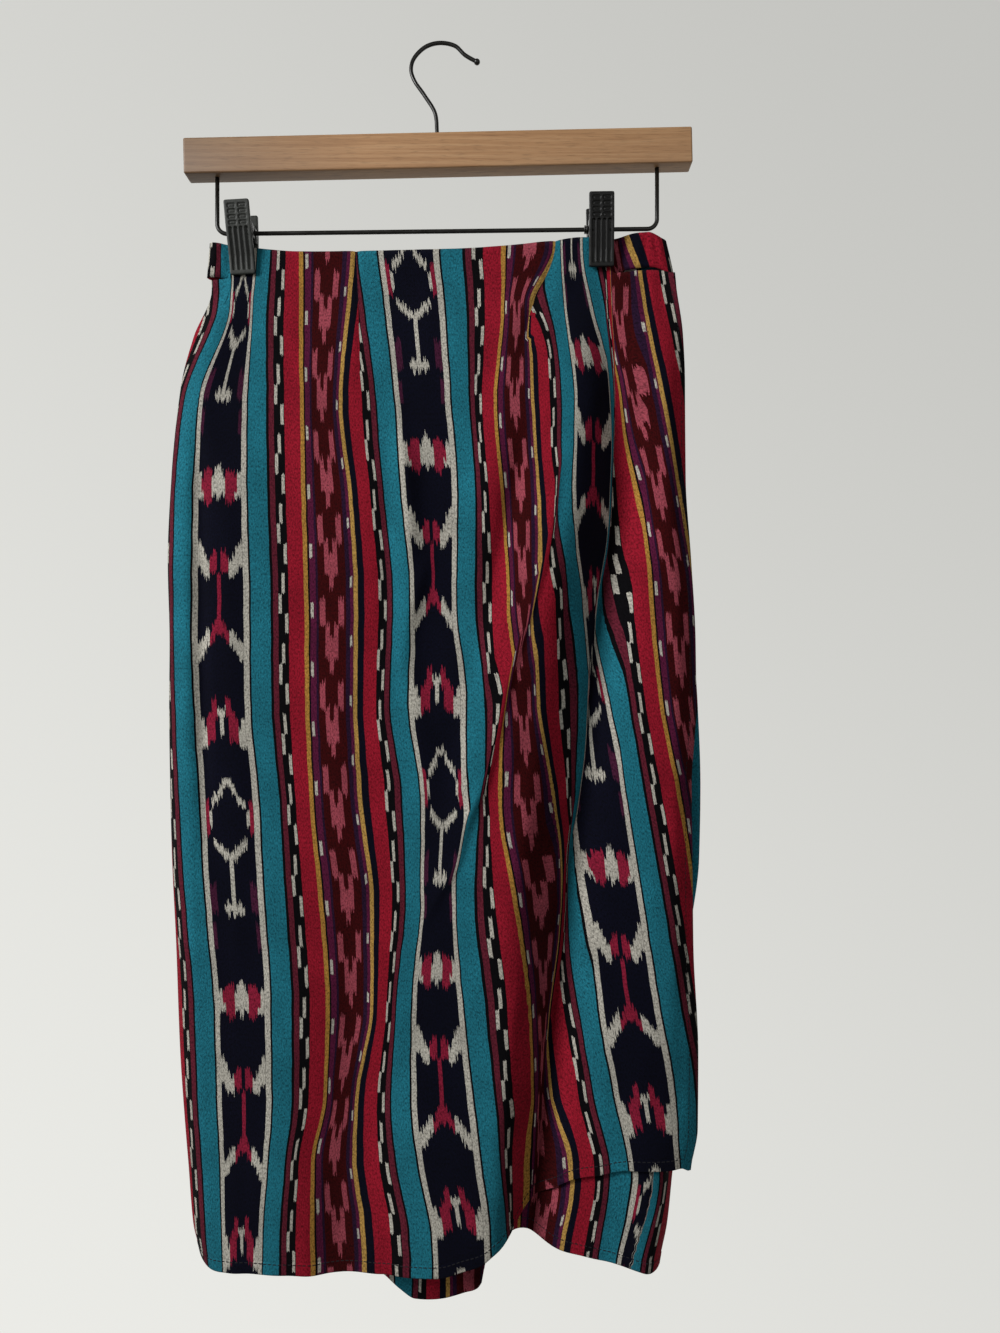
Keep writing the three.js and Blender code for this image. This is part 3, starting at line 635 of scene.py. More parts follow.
class StripeChart:
    """Reads how far across the cloth each place of a panel is, so that its stripes run where they hang."""

    def __init__(
        self, rows: list[dict[str, float]], stations: dict[str, float], darts: list[Dart], laps: list[Lap]
    ) -> None:
        """Keep one curve for each charted stripe.

        Args:
            rows: A row for each height, with the place of each charted stripe.
            stations: How far across the cloth each charted stripe is.
            darts: The darts that part the panel's stripes.
            laps: The sharp folds that hide some of its cloth.
        """
        self.laps = laps
        self.names = list(stations)
        self.across = [stations[name] for name in self.names]
        self.curves = [Curve(rows, "z", name) for name in self.names]
        self.darts = darts

    def read(self, x: Array, z: Array, pane: Array) -> Array:
        """How far across the cloth each place is.

        Args:
            x: Places across, in millimetres.
            z: Heights.
            pane: How many darts each place is right of.

        Returns:
            Millimetres across the cloth from the first navy band.
        """
        places = [curve(z) for curve in self.curves]
        u = np.where(x < places[0], self.across[0] + (x - places[0]) * LOOSE, 0.0)
        for i in range(len(places) - 1):
            gap = np.maximum(places[i + 1] - places[i], 0.05)
            wide = self.across[i + 1] - self.across[i]
            inside = (x >= places[i]) & (x < places[i + 1])
            u = np.where(inside, self.across[i] + (x - places[i]) / gap * wide, u)
            for n, dart in enumerate(self.darts):
                if dart.before.name != self.names[i]:
                    continue
                rate = (wide - dart.take(z)) / gap
                sewn = inside & (z > dart.end())
                before = self.across[i] + (x - places[i]) * rate
                after = self.across[i + 1] - (places[i + 1] - x) * rate
                u = np.where(sewn & (pane <= n), before, np.where(sewn & (pane > n), after, u))
        past = self.across[-1] + (x - places[-1]) * LOOSE
        u = np.where(x >= places[-1], past, u)
        return u + sum((lap.hidden(x, z) for lap in self.laps), np.zeros_like(u))


# Building cloth


@dataclass
class Panel:
    """One panel of cloth between two sides, an upper edge and a hem."""

    name: str
    across: Callable[[Array, Array], Array]  # the place across at a share of the width and a height
    depth: Callable[[Array, Array], Array]
    top: list[dict[str, float]]
    hem: list[dict[str, float]]
    columns: int
    rows: int
    stripes: Callable[[Array, Array, Array], Array]
    share: tuple[float, float] = (0.0, 1.0)  # the stretch of the width that it covers
    darts: list[Dart] = field(default_factory=list)
    laps: list[Lap] = field(default_factory=list)
    side_hem: bool = False
    waist_z: float = -150.0  # about where its upper edge and its hem are
    hem_z: float = -850.0
    width: float = 345.0
    hem_depth: float = 8.0  # from an edge to its stitch line
    hem_rows: int = 14  # rows of the grid that are kept for the hem, and how far up they reach
    hem_zone: float = 11.0
    hem_wall: float = 1.9  # two layers of cloth, and the share of them that one layer is
    single: float = 0.62
    groove: float = 0.35  # how far the stitches draw the cloth in, and how far from their line
    groove_reach: float = 1.1

    def place(self, s: Array, t: Array) -> Array:
        """Where the middle of the cloth is.

        Args:
            s: Shares of the width.
            t: Shares of the height, from the upper edge.

        Returns:
            Points in millimetres, one row each.
        """
        top, hem = Curve(self.top, "x", "z"), Curve(self.hem, "x", "z")
        upper, lower = np.full_like(s, self.waist_z), np.full_like(s, self.hem_z)
        for _ in range(4):
            upper, lower = top(self._warped(s, upper)), hem(self._warped(s, lower))
        z = upper + (lower - upper) * t
        x = self._warped(s, z)
        return np.stack([x, self.depth(x, z), z], axis=-1)

    def _warped(self, s: Array, z: Array) -> Array:
        """The place across, with the grid's columns brought onto the darts and the laps.

        Args:
            s: Shares of the width.
            z: Heights.

        Returns:
            Places across, in millimetres.
        """
        x = self.across(s, z)
        lines = sorted([*self.darts, *self.laps], key=lambda line: line.column)
        marks = [0.0, *[line.column / self.columns for line in lines], 1.0]
        own = [np.zeros_like(x)]
        for line, mark in zip(lines, marks[1:]):
            own.append(line.hold(z) * (line.line(z) - self.across(np.full_like(s, mark), z)))
        own.append(np.zeros_like(x))
        for i, line in enumerate(lines, 1):
            before, mark, after = marks[i - 1 : i + 2]
            share = (mark - before) / (after - before)
            between = own[i - 1] * (1 - share) + own[i + 1] * share
            shift = own[i] + (1 - line.hold(z)) * between
            x = x + np.interp(s, [before, mark, after], [0, 1, 0]) * shift
        return x

    def build(self) -> bpy.types.Object:
        """Build the panel as a thin shell with its cloth map, its hems a little thicker.

        Returns:
            The panel's object.
        """
        bm = bmesh.new()
        bmesh.ops.create_grid(bm, x_segments=self.columns, y_segments=self.rows, size=0.5)
        grid = np.array([vert.co[:2] for vert in bm.verts])
        s, t = grid[:, 0] + 0.5, 0.5 - grid[:, 1]
        s = self.share[0] + (self.share[1] - self.share[0]) * s
        length = self.waist_z - self.hem_z
        step = self.hem_rows / self.rows
        zone = self.hem_zone / length
        down = np.where(t < 1 - step, t / (1 - step) * (1 - zone), 1 - (1 - t) / step * zone)
        points = self.place(s, down)
        above_hem = (1 - down) * length
        groove = self.groove * np.exp(-(((above_hem - self.hem_depth) / self.groove_reach) ** 2))
        points[:, 1] += groove * (1 if points[:, 1].mean() < 0 else -1)
        for vert, point in zip(bm.verts, points):
            vert.co = Vector(point) * MM
        self._map_cloth(bm, s, points)
        bmesh.ops.recalc_face_normals(bm, faces=bm.faces)
        layer = bm.verts.layers.deform.verify()
        for vert, amount in zip(bm.verts, self._thickness(s, above_hem)):
            vert[layer][0] = float(amount)
        obj = to_object(bm, self.name)
        obj.vertex_groups.new(name="wall")
        shell = add_wall(obj, self.hem_wall)
        shell.vertex_group = "wall"
        return obj

    def _thickness(self, s: Array, above_hem: Array) -> Array:
        """The share of the fullest wall at each place: hems are two layers.

        Args:
            s: Shares of the width.
            above_hem: How far each place is above the hem, in millimetres.

        Returns:
            The share at each place.
        """
        hem = above_hem < self.hem_depth
        if self.side_hem:
            hem = hem | ((1 - s) * self.width < self.hem_depth)
        return np.where(hem, 1.0, self.single)

    def _map_cloth(self, bm: bmesh.types.BMesh, s: Array, points: Array) -> None:
        """Write the cloth's own map: metres across the cloth and metres down it.

        Args:
            bm: The panel's mesh.
            s: The share of the width of each vertex.
            points: The place of each vertex, in millimetres.
        """
        layer = bm.loops.layers.uv.new("cloth")
        marks = [dart.column / self.columns for dart in self.darts]
        corners = [(loop, loop.vert.index) for face in bm.faces for loop in face.loops]
        centres = np.repeat([np.mean([s[v.index] for v in face.verts]) for face in bm.faces], 4)
        index = np.array([i for _, i in corners])
        pane = np.sum([centres > mark for mark in marks], axis=0) if marks else np.zeros(len(index))
        u = self.stripes(points[index, 0], points[index, 2], pane)
        for (loop, i), across in zip(corners, u):
            loop[layer].uv = (across * MM, -points[i, 2] * MM)


def add_wall(obj: bpy.types.Object, thickness: float) -> Any:
    """Give a piece of cloth its wall, half on each side.

    Args:
        obj: The piece, whose mesh is the middle of the cloth.
        thickness: The wall's thickness in millimetres.

    Returns:
        The modifier.
    """
    shell = obj.modifiers.new("cloth wall", "SOLIDIFY")
    shell.thickness = thickness * MM
    shell.offset = 0.0
    return shell


def to_object(bm: bmesh.types.BMesh, name: str, smooth: bool = True) -> bpy.types.Object:
    """Turn a finished bmesh into an object in the scene.

    Args:
        bm: The mesh, in metres at its own place. It is freed.
        name: The object's name.
        smooth: Whether its faces are shaded smooth.

    Returns:
        The new object.
    """
    mesh = bpy.data.meshes.new(name)
    for face in bm.faces:
        face.smooth = smooth
    bm.to_mesh(mesh)
    bm.free()
    obj = bpy.data.objects.new(name, mesh)
    bpy.context.collection.objects.link(obj)
    return obj


# Building wires, plates and stitches


def spline(points: tuple[tuple[float, float], ...], steps: int) -> Array:
    """Run a smooth line through points of the hanger's own plane.

    Args:
        points: Places across and up, in millimetres.
        steps: Steps between one point and the next.

    Returns:
        Points of the line, one row each.
    """
    known = np.array([(x, 0.0, z) for x, z in points])
    known = np.vstack([2 * known[0] - known[1], known, 2 * known[-1] - known[-2]])
    line = []
    for p in (known[i : i + 4] for i in range(len(known) - 3)):
        knots = np.concatenate([[0.0], np.cumsum(np.sqrt(np.linalg.norm(np.diff(p, axis=0), axis=1)))])
        for t in np.linspace(knots[1], knots[2], steps, endpoint=False):
            row = p
            for level in range(1, 4):
                low, high = knots[: 4 - level], knots[level:4]
                share = ((t - low) / (high - low))[:, None]
                if level == 2:
                    share = ((t - knots[[0, 1]]) / (knots[[2, 3]] - knots[[0, 1]]))[:, None]
                if level == 3:
                    share = np.array([[(t - knots[1]) / (knots[2] - knots[1])]])
                row = row[:-1] * (1 - share) + row[1:] * share
            line.append(row[0])
    return np.vstack([line, known[-2]])


def tube(bm: bmesh.types.BMesh, line: Array, radius: float, sides: int = 18) -> None:
    """Sweep a round wire along a line and close its ends.

    Args:
        bm: The mesh to add to.
        line: Points in millimetres, one row each.
        radius: The wire's radius in millimetres.
        sides: The sides of its section.
    """
    steps = len(line) - 1
    made = bmesh.ops.create_grid(bm, x_segments=steps, y_segments=sides, size=0.5)["verts"]
    along = np.gradient(line, axis=0)
    along /= np.linalg.norm(along, axis=1)[:, None]
    normal = np.array([0.0, 1.0, 0.0]) if abs(along[0][1]) < 0.9 else np.array([1.0, 0.0, 0.0])
    normals = []
    for way in along:
        normal = normal - way * normal.dot(way)
        normal /= np.linalg.norm(normal)
        normals.append(normal)
    for vert in made:
        i = round((vert.co.x + 0.5) * steps)
        turn = 2 * math.pi * (vert.co.y + 0.5)
        side = np.cross(along[i], normals[i])
        vert.co = Vector(line[i] + radius * (math.cos(turn) * normals[i] + math.sin(turn) * side)) * MM
    close(bm, made)


def close(bm: bmesh.types.BMesh, made: list[Any]) -> None:
    """Join a wrapped grid along its seam and fill the holes at its ends.

    Args:
        bm: The mesh that the grid is in.
        made: The grid's vertices.
    """
    bmesh.ops.remove_doubles(bm, verts=made, dist=0.002 * MM)
    bmesh.ops.holes_fill(bm, edges=[edge for edge in bm.edges if edge.is_boundary], sides=0)
    bmesh.ops.recalc_face_normals(bm, faces=bm.faces)


def prism(bm: bmesh.types.BMesh, outline: list[tuple[float, float]], start: float, end: float) -> list[Any]:
    """Add a prism along X from its outline across.

    Args:
        bm: The mesh to add to.
        outline: Corners as Y and Z, in millimetres.
        start: Where it starts along X.
        end: Where it ends.

    Returns:
        The vertices it is made of.
    """
    made = bmesh.ops.create_circle(bm, cap_ends=True, segments=len(outline), radius=1.0)["verts"]
    for vert, (y, z) in zip(made, outline):
        vert.co = Vector((start, y, z)) * MM
    face = next(face for face in made[0].link_faces)
    grown = bmesh.ops.extrude_face_region(bm, geom=[face], use_keep_orig=True)["geom"]
    moved = [item for item in grown if isinstance(item, bmesh.types.BMVert)]
    bmesh.ops.translate(bm, verts=moved, vec=((end - start) * MM, 0, 0))
    return [*made, *moved]


@dataclass(frozen=True)
class Stitching:
    """Rows of small machine stitches, each a little sunk in the cloth."""

    pitch: float = 3.3
    length: float = 2.1
    thickness: float = 0.5
    stand: float = 0.8  # from the middle of the cloth to the middle of a stitch
    clear: float = 2.0  # from an end of the row to its nearest stitch
    samples: int = 400  # places at which the row is measured
    nudge: float = 0.002  # a small share of the panel, which shows how the cloth lies

    def sew(
        self, bm: bmesh.types.BMesh, panel: Panel, start: tuple[float, float], end: tuple[float, float]
    ) -> None:
        """Sew a row of stitches along a straight line of a panel.

        Args:
            bm: The mesh to add to.
            panel: The panel that is sewn.
            start: Where the row starts, as shares of the panel's width and height.
            end: Where it ends.
        """
        shares = np.linspace(0, 1, self.samples)
        s, t = (start[i] + (end[i] - start[i]) * shares for i in (0, 1))
        line = panel.place(s, t)
        length = np.concatenate([[0.0], np.cumsum(np.linalg.norm(np.diff(line, axis=0), axis=1))])
        shares = np.interp(np.arange(self.clear, length[-1] - self.clear, self.pitch), length, shares)
        s, t = (start[i] + (end[i] - start[i]) * shares for i in (0, 1))
        places = panel.place(s, t)
        ways = np.gradient(places, axis=0)
        across = panel.place(s + self.nudge, t) - panel.place(s - self.nudge, t)
        outs = np.cross(across, panel.place(s, t + self.nudge) - panel.place(s, t - self.nudge))
        outs *= np.sign(-outs[:, 1:2]) * (1 if places[:, 1].mean() < 0 else -1)
        for place, way, out in zip(places, ways, outs):
            way, out = Vector(way).normalized(), Vector(out).normalized()
            side = way.cross(out).normalized()
            sides = (way * self.length, side * self.thickness, out * self.thickness)
            turned = Matrix([edge * MM for edge in sides]).transposed().to_4x4()
            turned.translation = (Vector(place) + out * self.stand) * MM
            bmesh.ops.create_cube(bm, size=1.0, matrix=turned)


# Finishes


def linear(colour: str) -> tuple[float, float, float, float]:
    """Turn an sRGB hex colour to linear.

    Args:
        colour: Six hex digits after a hash.

    Returns:
        Linear red, green and blue, with full alpha.
    """
    values = [int(colour[i : i + 2], 16) / 255 for i in (1, 3, 5)]
    turned = [v / 12.92 if v <= 0.04045 else ((v + 0.055) / 1.055) ** 2.4 for v in values]
    return (turned[0], turned[1], turned[2], 1.0)


def feed(node: Any, **inputs: Any) -> None:
    """Set or link some inputs of a node.

    Args:
        node: The node.
        inputs: A value, a socket, or a node whose first output is linked, for each input, by its name with
            _ for a space, or as iN for input N.
    """
    for name, value in inputs.items():
        socket = node.inputs[int(name[1:])] if name[1:].isdigit() else node.inputs[name.replace("_", " ")]
        if isinstance(value, bpy.types.Node):
            value = value.outputs[0]
        if isinstance(value, bpy.types.NodeSocket):
            node.id_data.links.new(value, socket)
        else:
            socket.default_value = value


def add_node(
    tree: bpy.types.NodeTree, kind: str, settings: dict[str, Any] | str | None = None, **inputs: Any
) -> Any:
    """Add a node with its settings and links.

    Args:
        tree: The material's node tree.
        kind: The node's type, without its ShaderNode prefix.
        settings: Properties of the node, or just its operation.
        inputs: What feed gives its inputs.

    Returns:
        The node.
    """
    node = tree.nodes.new("ShaderNode" + kind)
    if isinstance(settings, str):
        settings = {"operation": settings}
    for name, value in (settings or {}).items():
        setattr(node, name, value)
    feed(node, **inputs)
    return node


# How one colour is mixed into another: laid over it, or multiplied with it
LAY_OVER = {"data_type": "RGBA"}
TINT = {"data_type": "RGBA", "blend_type": "MULTIPLY"}


def set_ramp(node: Any, stops: list[tuple[float, str]], flat: bool = True) -> None:
    """Give a colour ramp its stops.

    Args:
        node: The ramp node.
        stops: Places from 0 to 1 with their colours.
        flat: Whether each colour holds up to the next stop.
    """
    ramp = node.color_ramp
    ramp.interpolation = "CONSTANT" if flat else "LINEAR"
    for i, (place, colour) in enumerate(stops):
        element = ramp.elements[i] if i < 2 and i < len(ramp.elements) else ramp.elements.new(place)
        element.position = place
        element.color = linear(colour)


def new_material(name: str) -> tuple[bpy.types.Material, bpy.types.NodeTree, Any]:
    """Make a material with one surface shader.

    Args:
        name: The material's name.

    Returns:
        The material, its tree and its Principled shader.
    """
    material = bpy.data.materials.new(name)
    material.use_nodes = True
    tree = material.node_tree
    tree.nodes.clear()
    shader = add_node(tree, "BsdfPrincipled")
    out = add_node(tree, "OutputMaterial")
    feed(out, i0=shader)
    return material, tree, shader


class Yarn(Enum):
    """The dyed yarns of the cloth."""

    NAVY = "#070817"
    BLACK = "#070609"
    WHITE = "#b1ada2"
    TEAL = "#1e6c7d"
    MAROON = "#5c1d2b"
    RED = "#8e1628"
    ORANGE = "#a67a37"
    YELLOW = "#ac8746"
    WINE = "#541736"
    PLUM = "#26122a"
    BROWN = "#380608"
    PINK = "#984450"
    CRIMSON = "#841c34"
    PURPLE = "#40182f"


# One repeat of the warp, across: where each stripe starts, in millimetres from the middle of a navy band
WARP = [
    (0, Yarn.NAVY), (15.5, Yarn.WHITE), (19, Yarn.BLACK), (20.2, Yarn.TEAL), (33.4, Yarn.BLACK),
    (35, Yarn.MAROON), (39, Yarn.BLACK), (46, Yarn.RED), (57, Yarn.ORANGE), (59.6, Yarn.BLACK),
    (61, Yarn.WINE), (65, Yarn.PLUM), (67, Yarn.BROWN), (86, Yarn.PLUM), (89, Yarn.WINE),
    (91.5, Yarn.YELLOW), (94.7, Yarn.NAVY), (99.2, Yarn.RED), (109.7, Yarn.BLACK), (116.2, Yarn.MAROON),
    (120, Yarn.BLACK), (121.2, Yarn.TEAL), (133.7, Yarn.BLACK), (134.9, Yarn.WHITE), (138.4, Yarn.NAVY),
]
REPEAT = 153.9
NAVY_HALF = 15.5  # half the navy band, which the figures keep to

# The figures of the navy band, for one repeat down from the middle of a crown, in millimetres. Each column
# starts this far from the band's middle, and each entry gives where a colour starts.
FIGURE_REPEAT = 355.0
FIGURE = {
    0.0: "0 w, 10 n, 62 c, 105 n, 154 w, 172 n, 203 w, 208 n, 255 w, 297 n, 342 w",
    1.3: "0 w, 6 n, 47 c, 60 n, 93 c, 104 n, 155 w, 158.5 n, 203 w, 209 n, 253 w, 259 n, 290 w, 294 n, 345 w",
    3.0: "0 w, 8 n, 47 c, 62 n, 98 c, 108 n, 148 c, 161 n, 208 w, 214 n, 251 w, 259 n, 288 w, 297 n, 350 w",
    4.7: "0 c, 12 n, 50 c, 61 n, 103 c, 110 n, 149 c, 177 n, 211 w, 217 n, 249 w, 256 n, 291 w, 295 n, 344 c",
    6.5: "0 c, 13 n, 53 w, 64 n, 101 w, 111 n, 157 c, 177 n, 214 w, 220 n, 247 w, 253 n, 344 c",
    9.0: "0 c, 10 n, 49 w, 63 n, 103 w, 114 n, 161 c, 179 n, 217 w, 222 n, 245 w, 250 n, 346 c",
    11.0: "0 c, 5 w, 9 n, 44 w, 60 n, 107 w, 119 n, 168 w, 182 n, 226 w, 236 n, 274 p, 294 n, 350 c",
    13.0: "0 w, 8 n, 40 w, 56 n, 110 w, 122 n, 162 w, 183 n, 219 c, 242 n, 277 p, 296 n, 303 p, 319 n, 348 w",
}
# Where the first crown of each navy band lies below the origin, from the band left of the first one
CROWNS = [150.0, 312.9, 291.5, 221.8, 90.0, 255.0]
# The arrowheads on the brown stripe, from one point down to the next
ARROW_REPEAT = 57.7
ARROW_START = 40.6
ARROW_SHIFT = 5.4  # how much lower the arrowheads of the next repeat across start
ARROW_MIDDLE = 76.5
BROWN_HALF = 9.5  # half the brown stripe, which the arrowheads keep to
ARROWS = {
    0.0: "0 b, 33 k, 56.5 b",
    1.5: "0 b, 23 k, 47 b",
    4.6: "0 b, 5.5 k, 25 b",
    8.6: "0 b",
}
LETTERS = {
    "n": Yarn.NAVY, "w": Yarn.WHITE, "c": Yarn.CRIMSON, "p": Yarn.PURPLE, "b": Yarn.BROWN, "k": Yarn.PINK,
}


def chart_row(text: str) -> list[tuple[float, Yarn]]:
    """Read one column of a figure chart.

    Args:
        text: Where each colour starts, in millimetres, and its letter.

    Returns:
        The starts with their yarns.
    """
    return [(float(entry.split()[0]), LETTERS[entry.split()[1]]) for entry in text.split(",")]


@dataclass(frozen=True)
class Dash:
    """A row of light dashes along a stripe: its place across, and its rhythm down the cloth."""

    start: float  # where it starts and ends across the warp's repeat
    end: float
    pitch: float
    length: float
    shift: float  # how far up the dashes are moved
    yarn: Yarn


def dashed(start: float, end: float, shift: float) -> list[Dash]:
    """The three columns of dashes of one black stripe, each moved further up than the one before.

    Args:
        start: Where the stripe starts across the warp's repeat.
        end: Where it ends.
        shift: How far up its first column is moved.

    Returns:
        The columns.
    """
    width = (end - start) / 3
    return [
        Dash(start + i * width, start + (i + 1) * width, 48.5, 13.8, shift + late, Yarn.WHITE)
        for i, late in enumerate((0.0, 14.0, 34.5))
    ]


DASHES = [
    *dashed(39.4, 45.8, 44.9),
    *dashed(110.1, 116.0, 6.0),
    Dash(61.6, 63.6, 41.0, 10.0, 12.0, Yarn.WHITE),
    Dash(89.4, 90.9, 41.0, 7.0, 30.0, Yarn.WHITE),
]


@dataclass(frozen=True)
class IkatCotton:
    """Warp ikat in plain weave, soft cotton: matte, faintly mottled, its figures feathered by the dye."""

    name: str = "ikat_cotton"
    roughness: float = 0.93
    sheen: float = 0.015
    specular: float = 0.08
    thread: float = 1.15  # the real threads are about 0.5 mm apart, too fine to show; drawn this coarse
    feather: float = 7.0  # how far the dye creeps along a thread, mm
    sway: float = 1.2  # how far a stripe's edge strays across, mm
    dash_feather: float = 5.0
    dash_step: float = 7.3  # how much higher the dashes of the next repeat across are
    bump: float = 0.35

    def make(self) -> bpy.types.Material:
        """Build the material from the cloth's own map.

        Returns:
            The material.
        """
        material, tree, shader = new_material(self.name)
        cloth = add_node(tree, "UVMap", {"uv_map": "cloth"})
        parts = add_node(tree, "SeparateXYZ", i0=cloth)
        across = add_node(tree, "Math", "MULTIPLY", i0=parts, i1=1000.0)
        down = add_node(tree, "Math", "MULTIPLY", i0=parts.outputs[1], i1=1000.0)
        streak = self._noise(tree, across, down, 1.5, 0.035, 3.0)
        sway = self._noise(tree, across, down, 0.02, 0.05, 0.0)
        creep = add_node(tree, "Math", "SUBTRACT", i0=streak, i1=0.5)
        crept = add_node(tree, "Math", "MULTIPLY_ADD", i0=creep, i1=self.feather * 2, i2=down)
        swayed = add_node(tree, "Math", "SUBTRACT", i0=sway, i1=0.5)
        moved = add_node(tree, "Math", "MULTIPLY_ADD", i0=swayed, i1=self.sway, i2=across)
        share = add_node(tree, "Math", "DIVIDE", i0=moved, i1=REPEAT)
        place = add_node(tree, "Math", "FRACT", i0=share)
        colour = self._warp(tree, place)
        colour = self._figures(tree, colour, moved, crept)
        colour = self._arrows(tree, colour, place, crept, share)
        colour = self._dashes(tree, colour, place, down, streak, share)
        colour = self._heather(tree, colour, across, down)
        feed(shader, Base_Color=colour, Roughness=self.roughness)
        feed(shader, Sheen_Weight=self.sheen, Specular_IOR_Level=self.specular)
        self._weave(tree, shader, across, down)
        return material

    def _noise(self, tree: Any, across: Any, down: Any, fine: float, along: float, seed: float) -> Any:
        """Noise over the cloth, with its own fineness across and along the warp.

        Args:
            tree: The material's tree.
            across: Millimetres across the cloth.
            down: Millimetres down it.
            fine: Waves for each millimetre across.
            along: Waves for each millimetre down.
            seed: Which noise it is.

        Returns:
            The noise node, about 0.5 on the whole.
        """
        x = add_node(tree, "Math", "MULTIPLY", i0=across, i1=fine)
        y = add_node(tree, "Math", "MULTIPLY", i0=down, i1=along)
        place = add_node(tree, "CombineXYZ", i0=x, i1=y, i2=seed)
        settings = {"noise_dimensions": "3D"}
        noise = add_node(tree, "TexNoise", settings, Vector=place, Scale=1.0, Detail=1.0, Roughness=0.5)
        return noise

    def _warp(self, tree: Any, place: Any) -> Any:
        """The plain stripes of the warp."""
        ramp = add_node(tree, "ValToRGB", i0=place)
        set_ramp(ramp, [(start / REPEAT, yarn.value) for start, yarn in WARP])
        return ramp

    def _chart(
        self, tree: Any, colour: Any, away: Any, phase: Any, chart: dict[float, str], repeat: float
    ) -> Any:
        """Lay a figure chart over the colour: each column is a ramp down the cloth.

        Args:
            tree: The material's tree.
            colour: The colour under the chart.
            away: Millimetres from the figure's middle line.
            phase: Shares of the repeat down the cloth.
            chart: Where each column starts, and its colours down the cloth.
            repeat: The repeat down, in millimetres.

        Returns:
            The socket with the colour.
        """
        for start, stops in chart.items():
            ramp = add_node(tree, "ValToRGB", i0=phase)
            set_ramp(ramp, [(stop / repeat, yarn.value) for stop, yarn in chart_row(stops)])
            begins = start - 0.01
            inside = add_node(tree, "Math", "GREATER_THAN", i0=away, i1=begins)
            colour = add_node(tree, "Mix", LAY_OVER, i0=inside, i6=colour, i7=ramp).outputs[2]
        return colour

    def _figures(self, tree: Any, colour: Any, moved: Any, crept: Any) -> Any:
        """The feathered figures of the navy bands.

        Args:
            tree: The material's tree.
            colour: The colour under the figures.
            moved: Millimetres across the cloth, as the stripes sway.
            crept: Millimetres down it, as the dye has crept.

        Returns:
            The socket with the colour.
        """
        band = add_node(tree, "Math", "DIVIDE", i0=moved, i1=REPEAT)
        number = add_node(tree, "Math", "ROUND", i0=band)
        off = add_node(tree, "Math", "SUBTRACT", i0=band, i1=number)
        size = add_node(tree, "Math", "ABSOLUTE", i0=off)
        away = add_node(tree, "Math", "MULTIPLY", i0=size, i1=REPEAT)
        turn = 1 / len(CROWNS)
        step = add_node(tree, "Math", "MULTIPLY_ADD", i0=number, i1=turn, i2=1.5 * turn)
        wrapped = add_node(tree, "Math", "FRACT", i0=step)
        starts = add_node(tree, "ValToRGB", i0=wrapped)
        starts.color_ramp.interpolation = "CONSTANT"
        for i, crown in enumerate(CROWNS):
            ramp = starts.color_ramp.elements
            stop = ramp[i] if i < 2 else ramp.new(i / len(CROWNS))
            stop.position = i / len(CROWNS)
            stop.color = (crown / FIGURE_REPEAT,) * 3 + (1.0,)
        first = add_node(tree, "SeparateColor", i0=starts)
        turns = add_node(tree, "Math", "DIVIDE", i0=crept, i1=FIGURE_REPEAT)
        late = add_node(tree, "Math", "SUBTRACT", i0=turns, i1=first)
        phase = add_node(tree, "Math", "FRACT", i0=late)
        figures = self._chart(tree, colour, away, phase, FIGURE, FIGURE_REPEAT)
        inside = add_node(tree, "Math", "LESS_THAN", i0=away, i1=NAVY_HALF)
        return add_node(tree, "Mix", LAY_OVER, i0=inside, i6=colour, i7=figures).outputs[2]

    def _arrows(self, tree: Any, colour: Any, place: Any, crept: Any, share: Any) -> Any:
        """The pink arrowheads of the brown stripe.

        Args:
            tree: The material's tree.
            colour: The colour under the arrowheads.
            place: Shares of the warp's repeat across.
            crept: Millimetres down the cloth, as the dye has crept.
            share: Repeats of the warp, counted from the first navy band.

        Returns:
            The socket with the colour.
        """
        off = add_node(tree, "Math", "SUBTRACT", i0=place, i1=ARROW_MIDDLE / REPEAT)
        size = add_node(tree, "Math", "ABSOLUTE", i0=off)
        away = add_node(tree, "Math", "MULTIPLY", i0=size, i1=REPEAT)
        number = add_node(tree, "Math", "FLOOR", i0=share)
        turns = add_node(tree, "Math", "DIVIDE", i0=crept, i1=ARROW_REPEAT)
        shift, start = -ARROW_SHIFT / ARROW_REPEAT, -ARROW_START / ARROW_REPEAT
        first = add_node(tree, "Math", "MULTIPLY_ADD", i0=number, i1=shift, i2=start)
        late = add_node(tree, "Math", "ADD", i0=turns, i1=first)
        phase = add_node(tree, "Math", "FRACT", i0=late)
        arrows = self._chart(tree, colour, away, phase, ARROWS, ARROW_REPEAT)
        inside = add_node(tree, "Math", "LESS_THAN", i0=away, i1=BROWN_HALF)
        return add_node(tree, "Mix", LAY_OVER, i0=inside, i6=colour, i7=arrows).outputs[2]

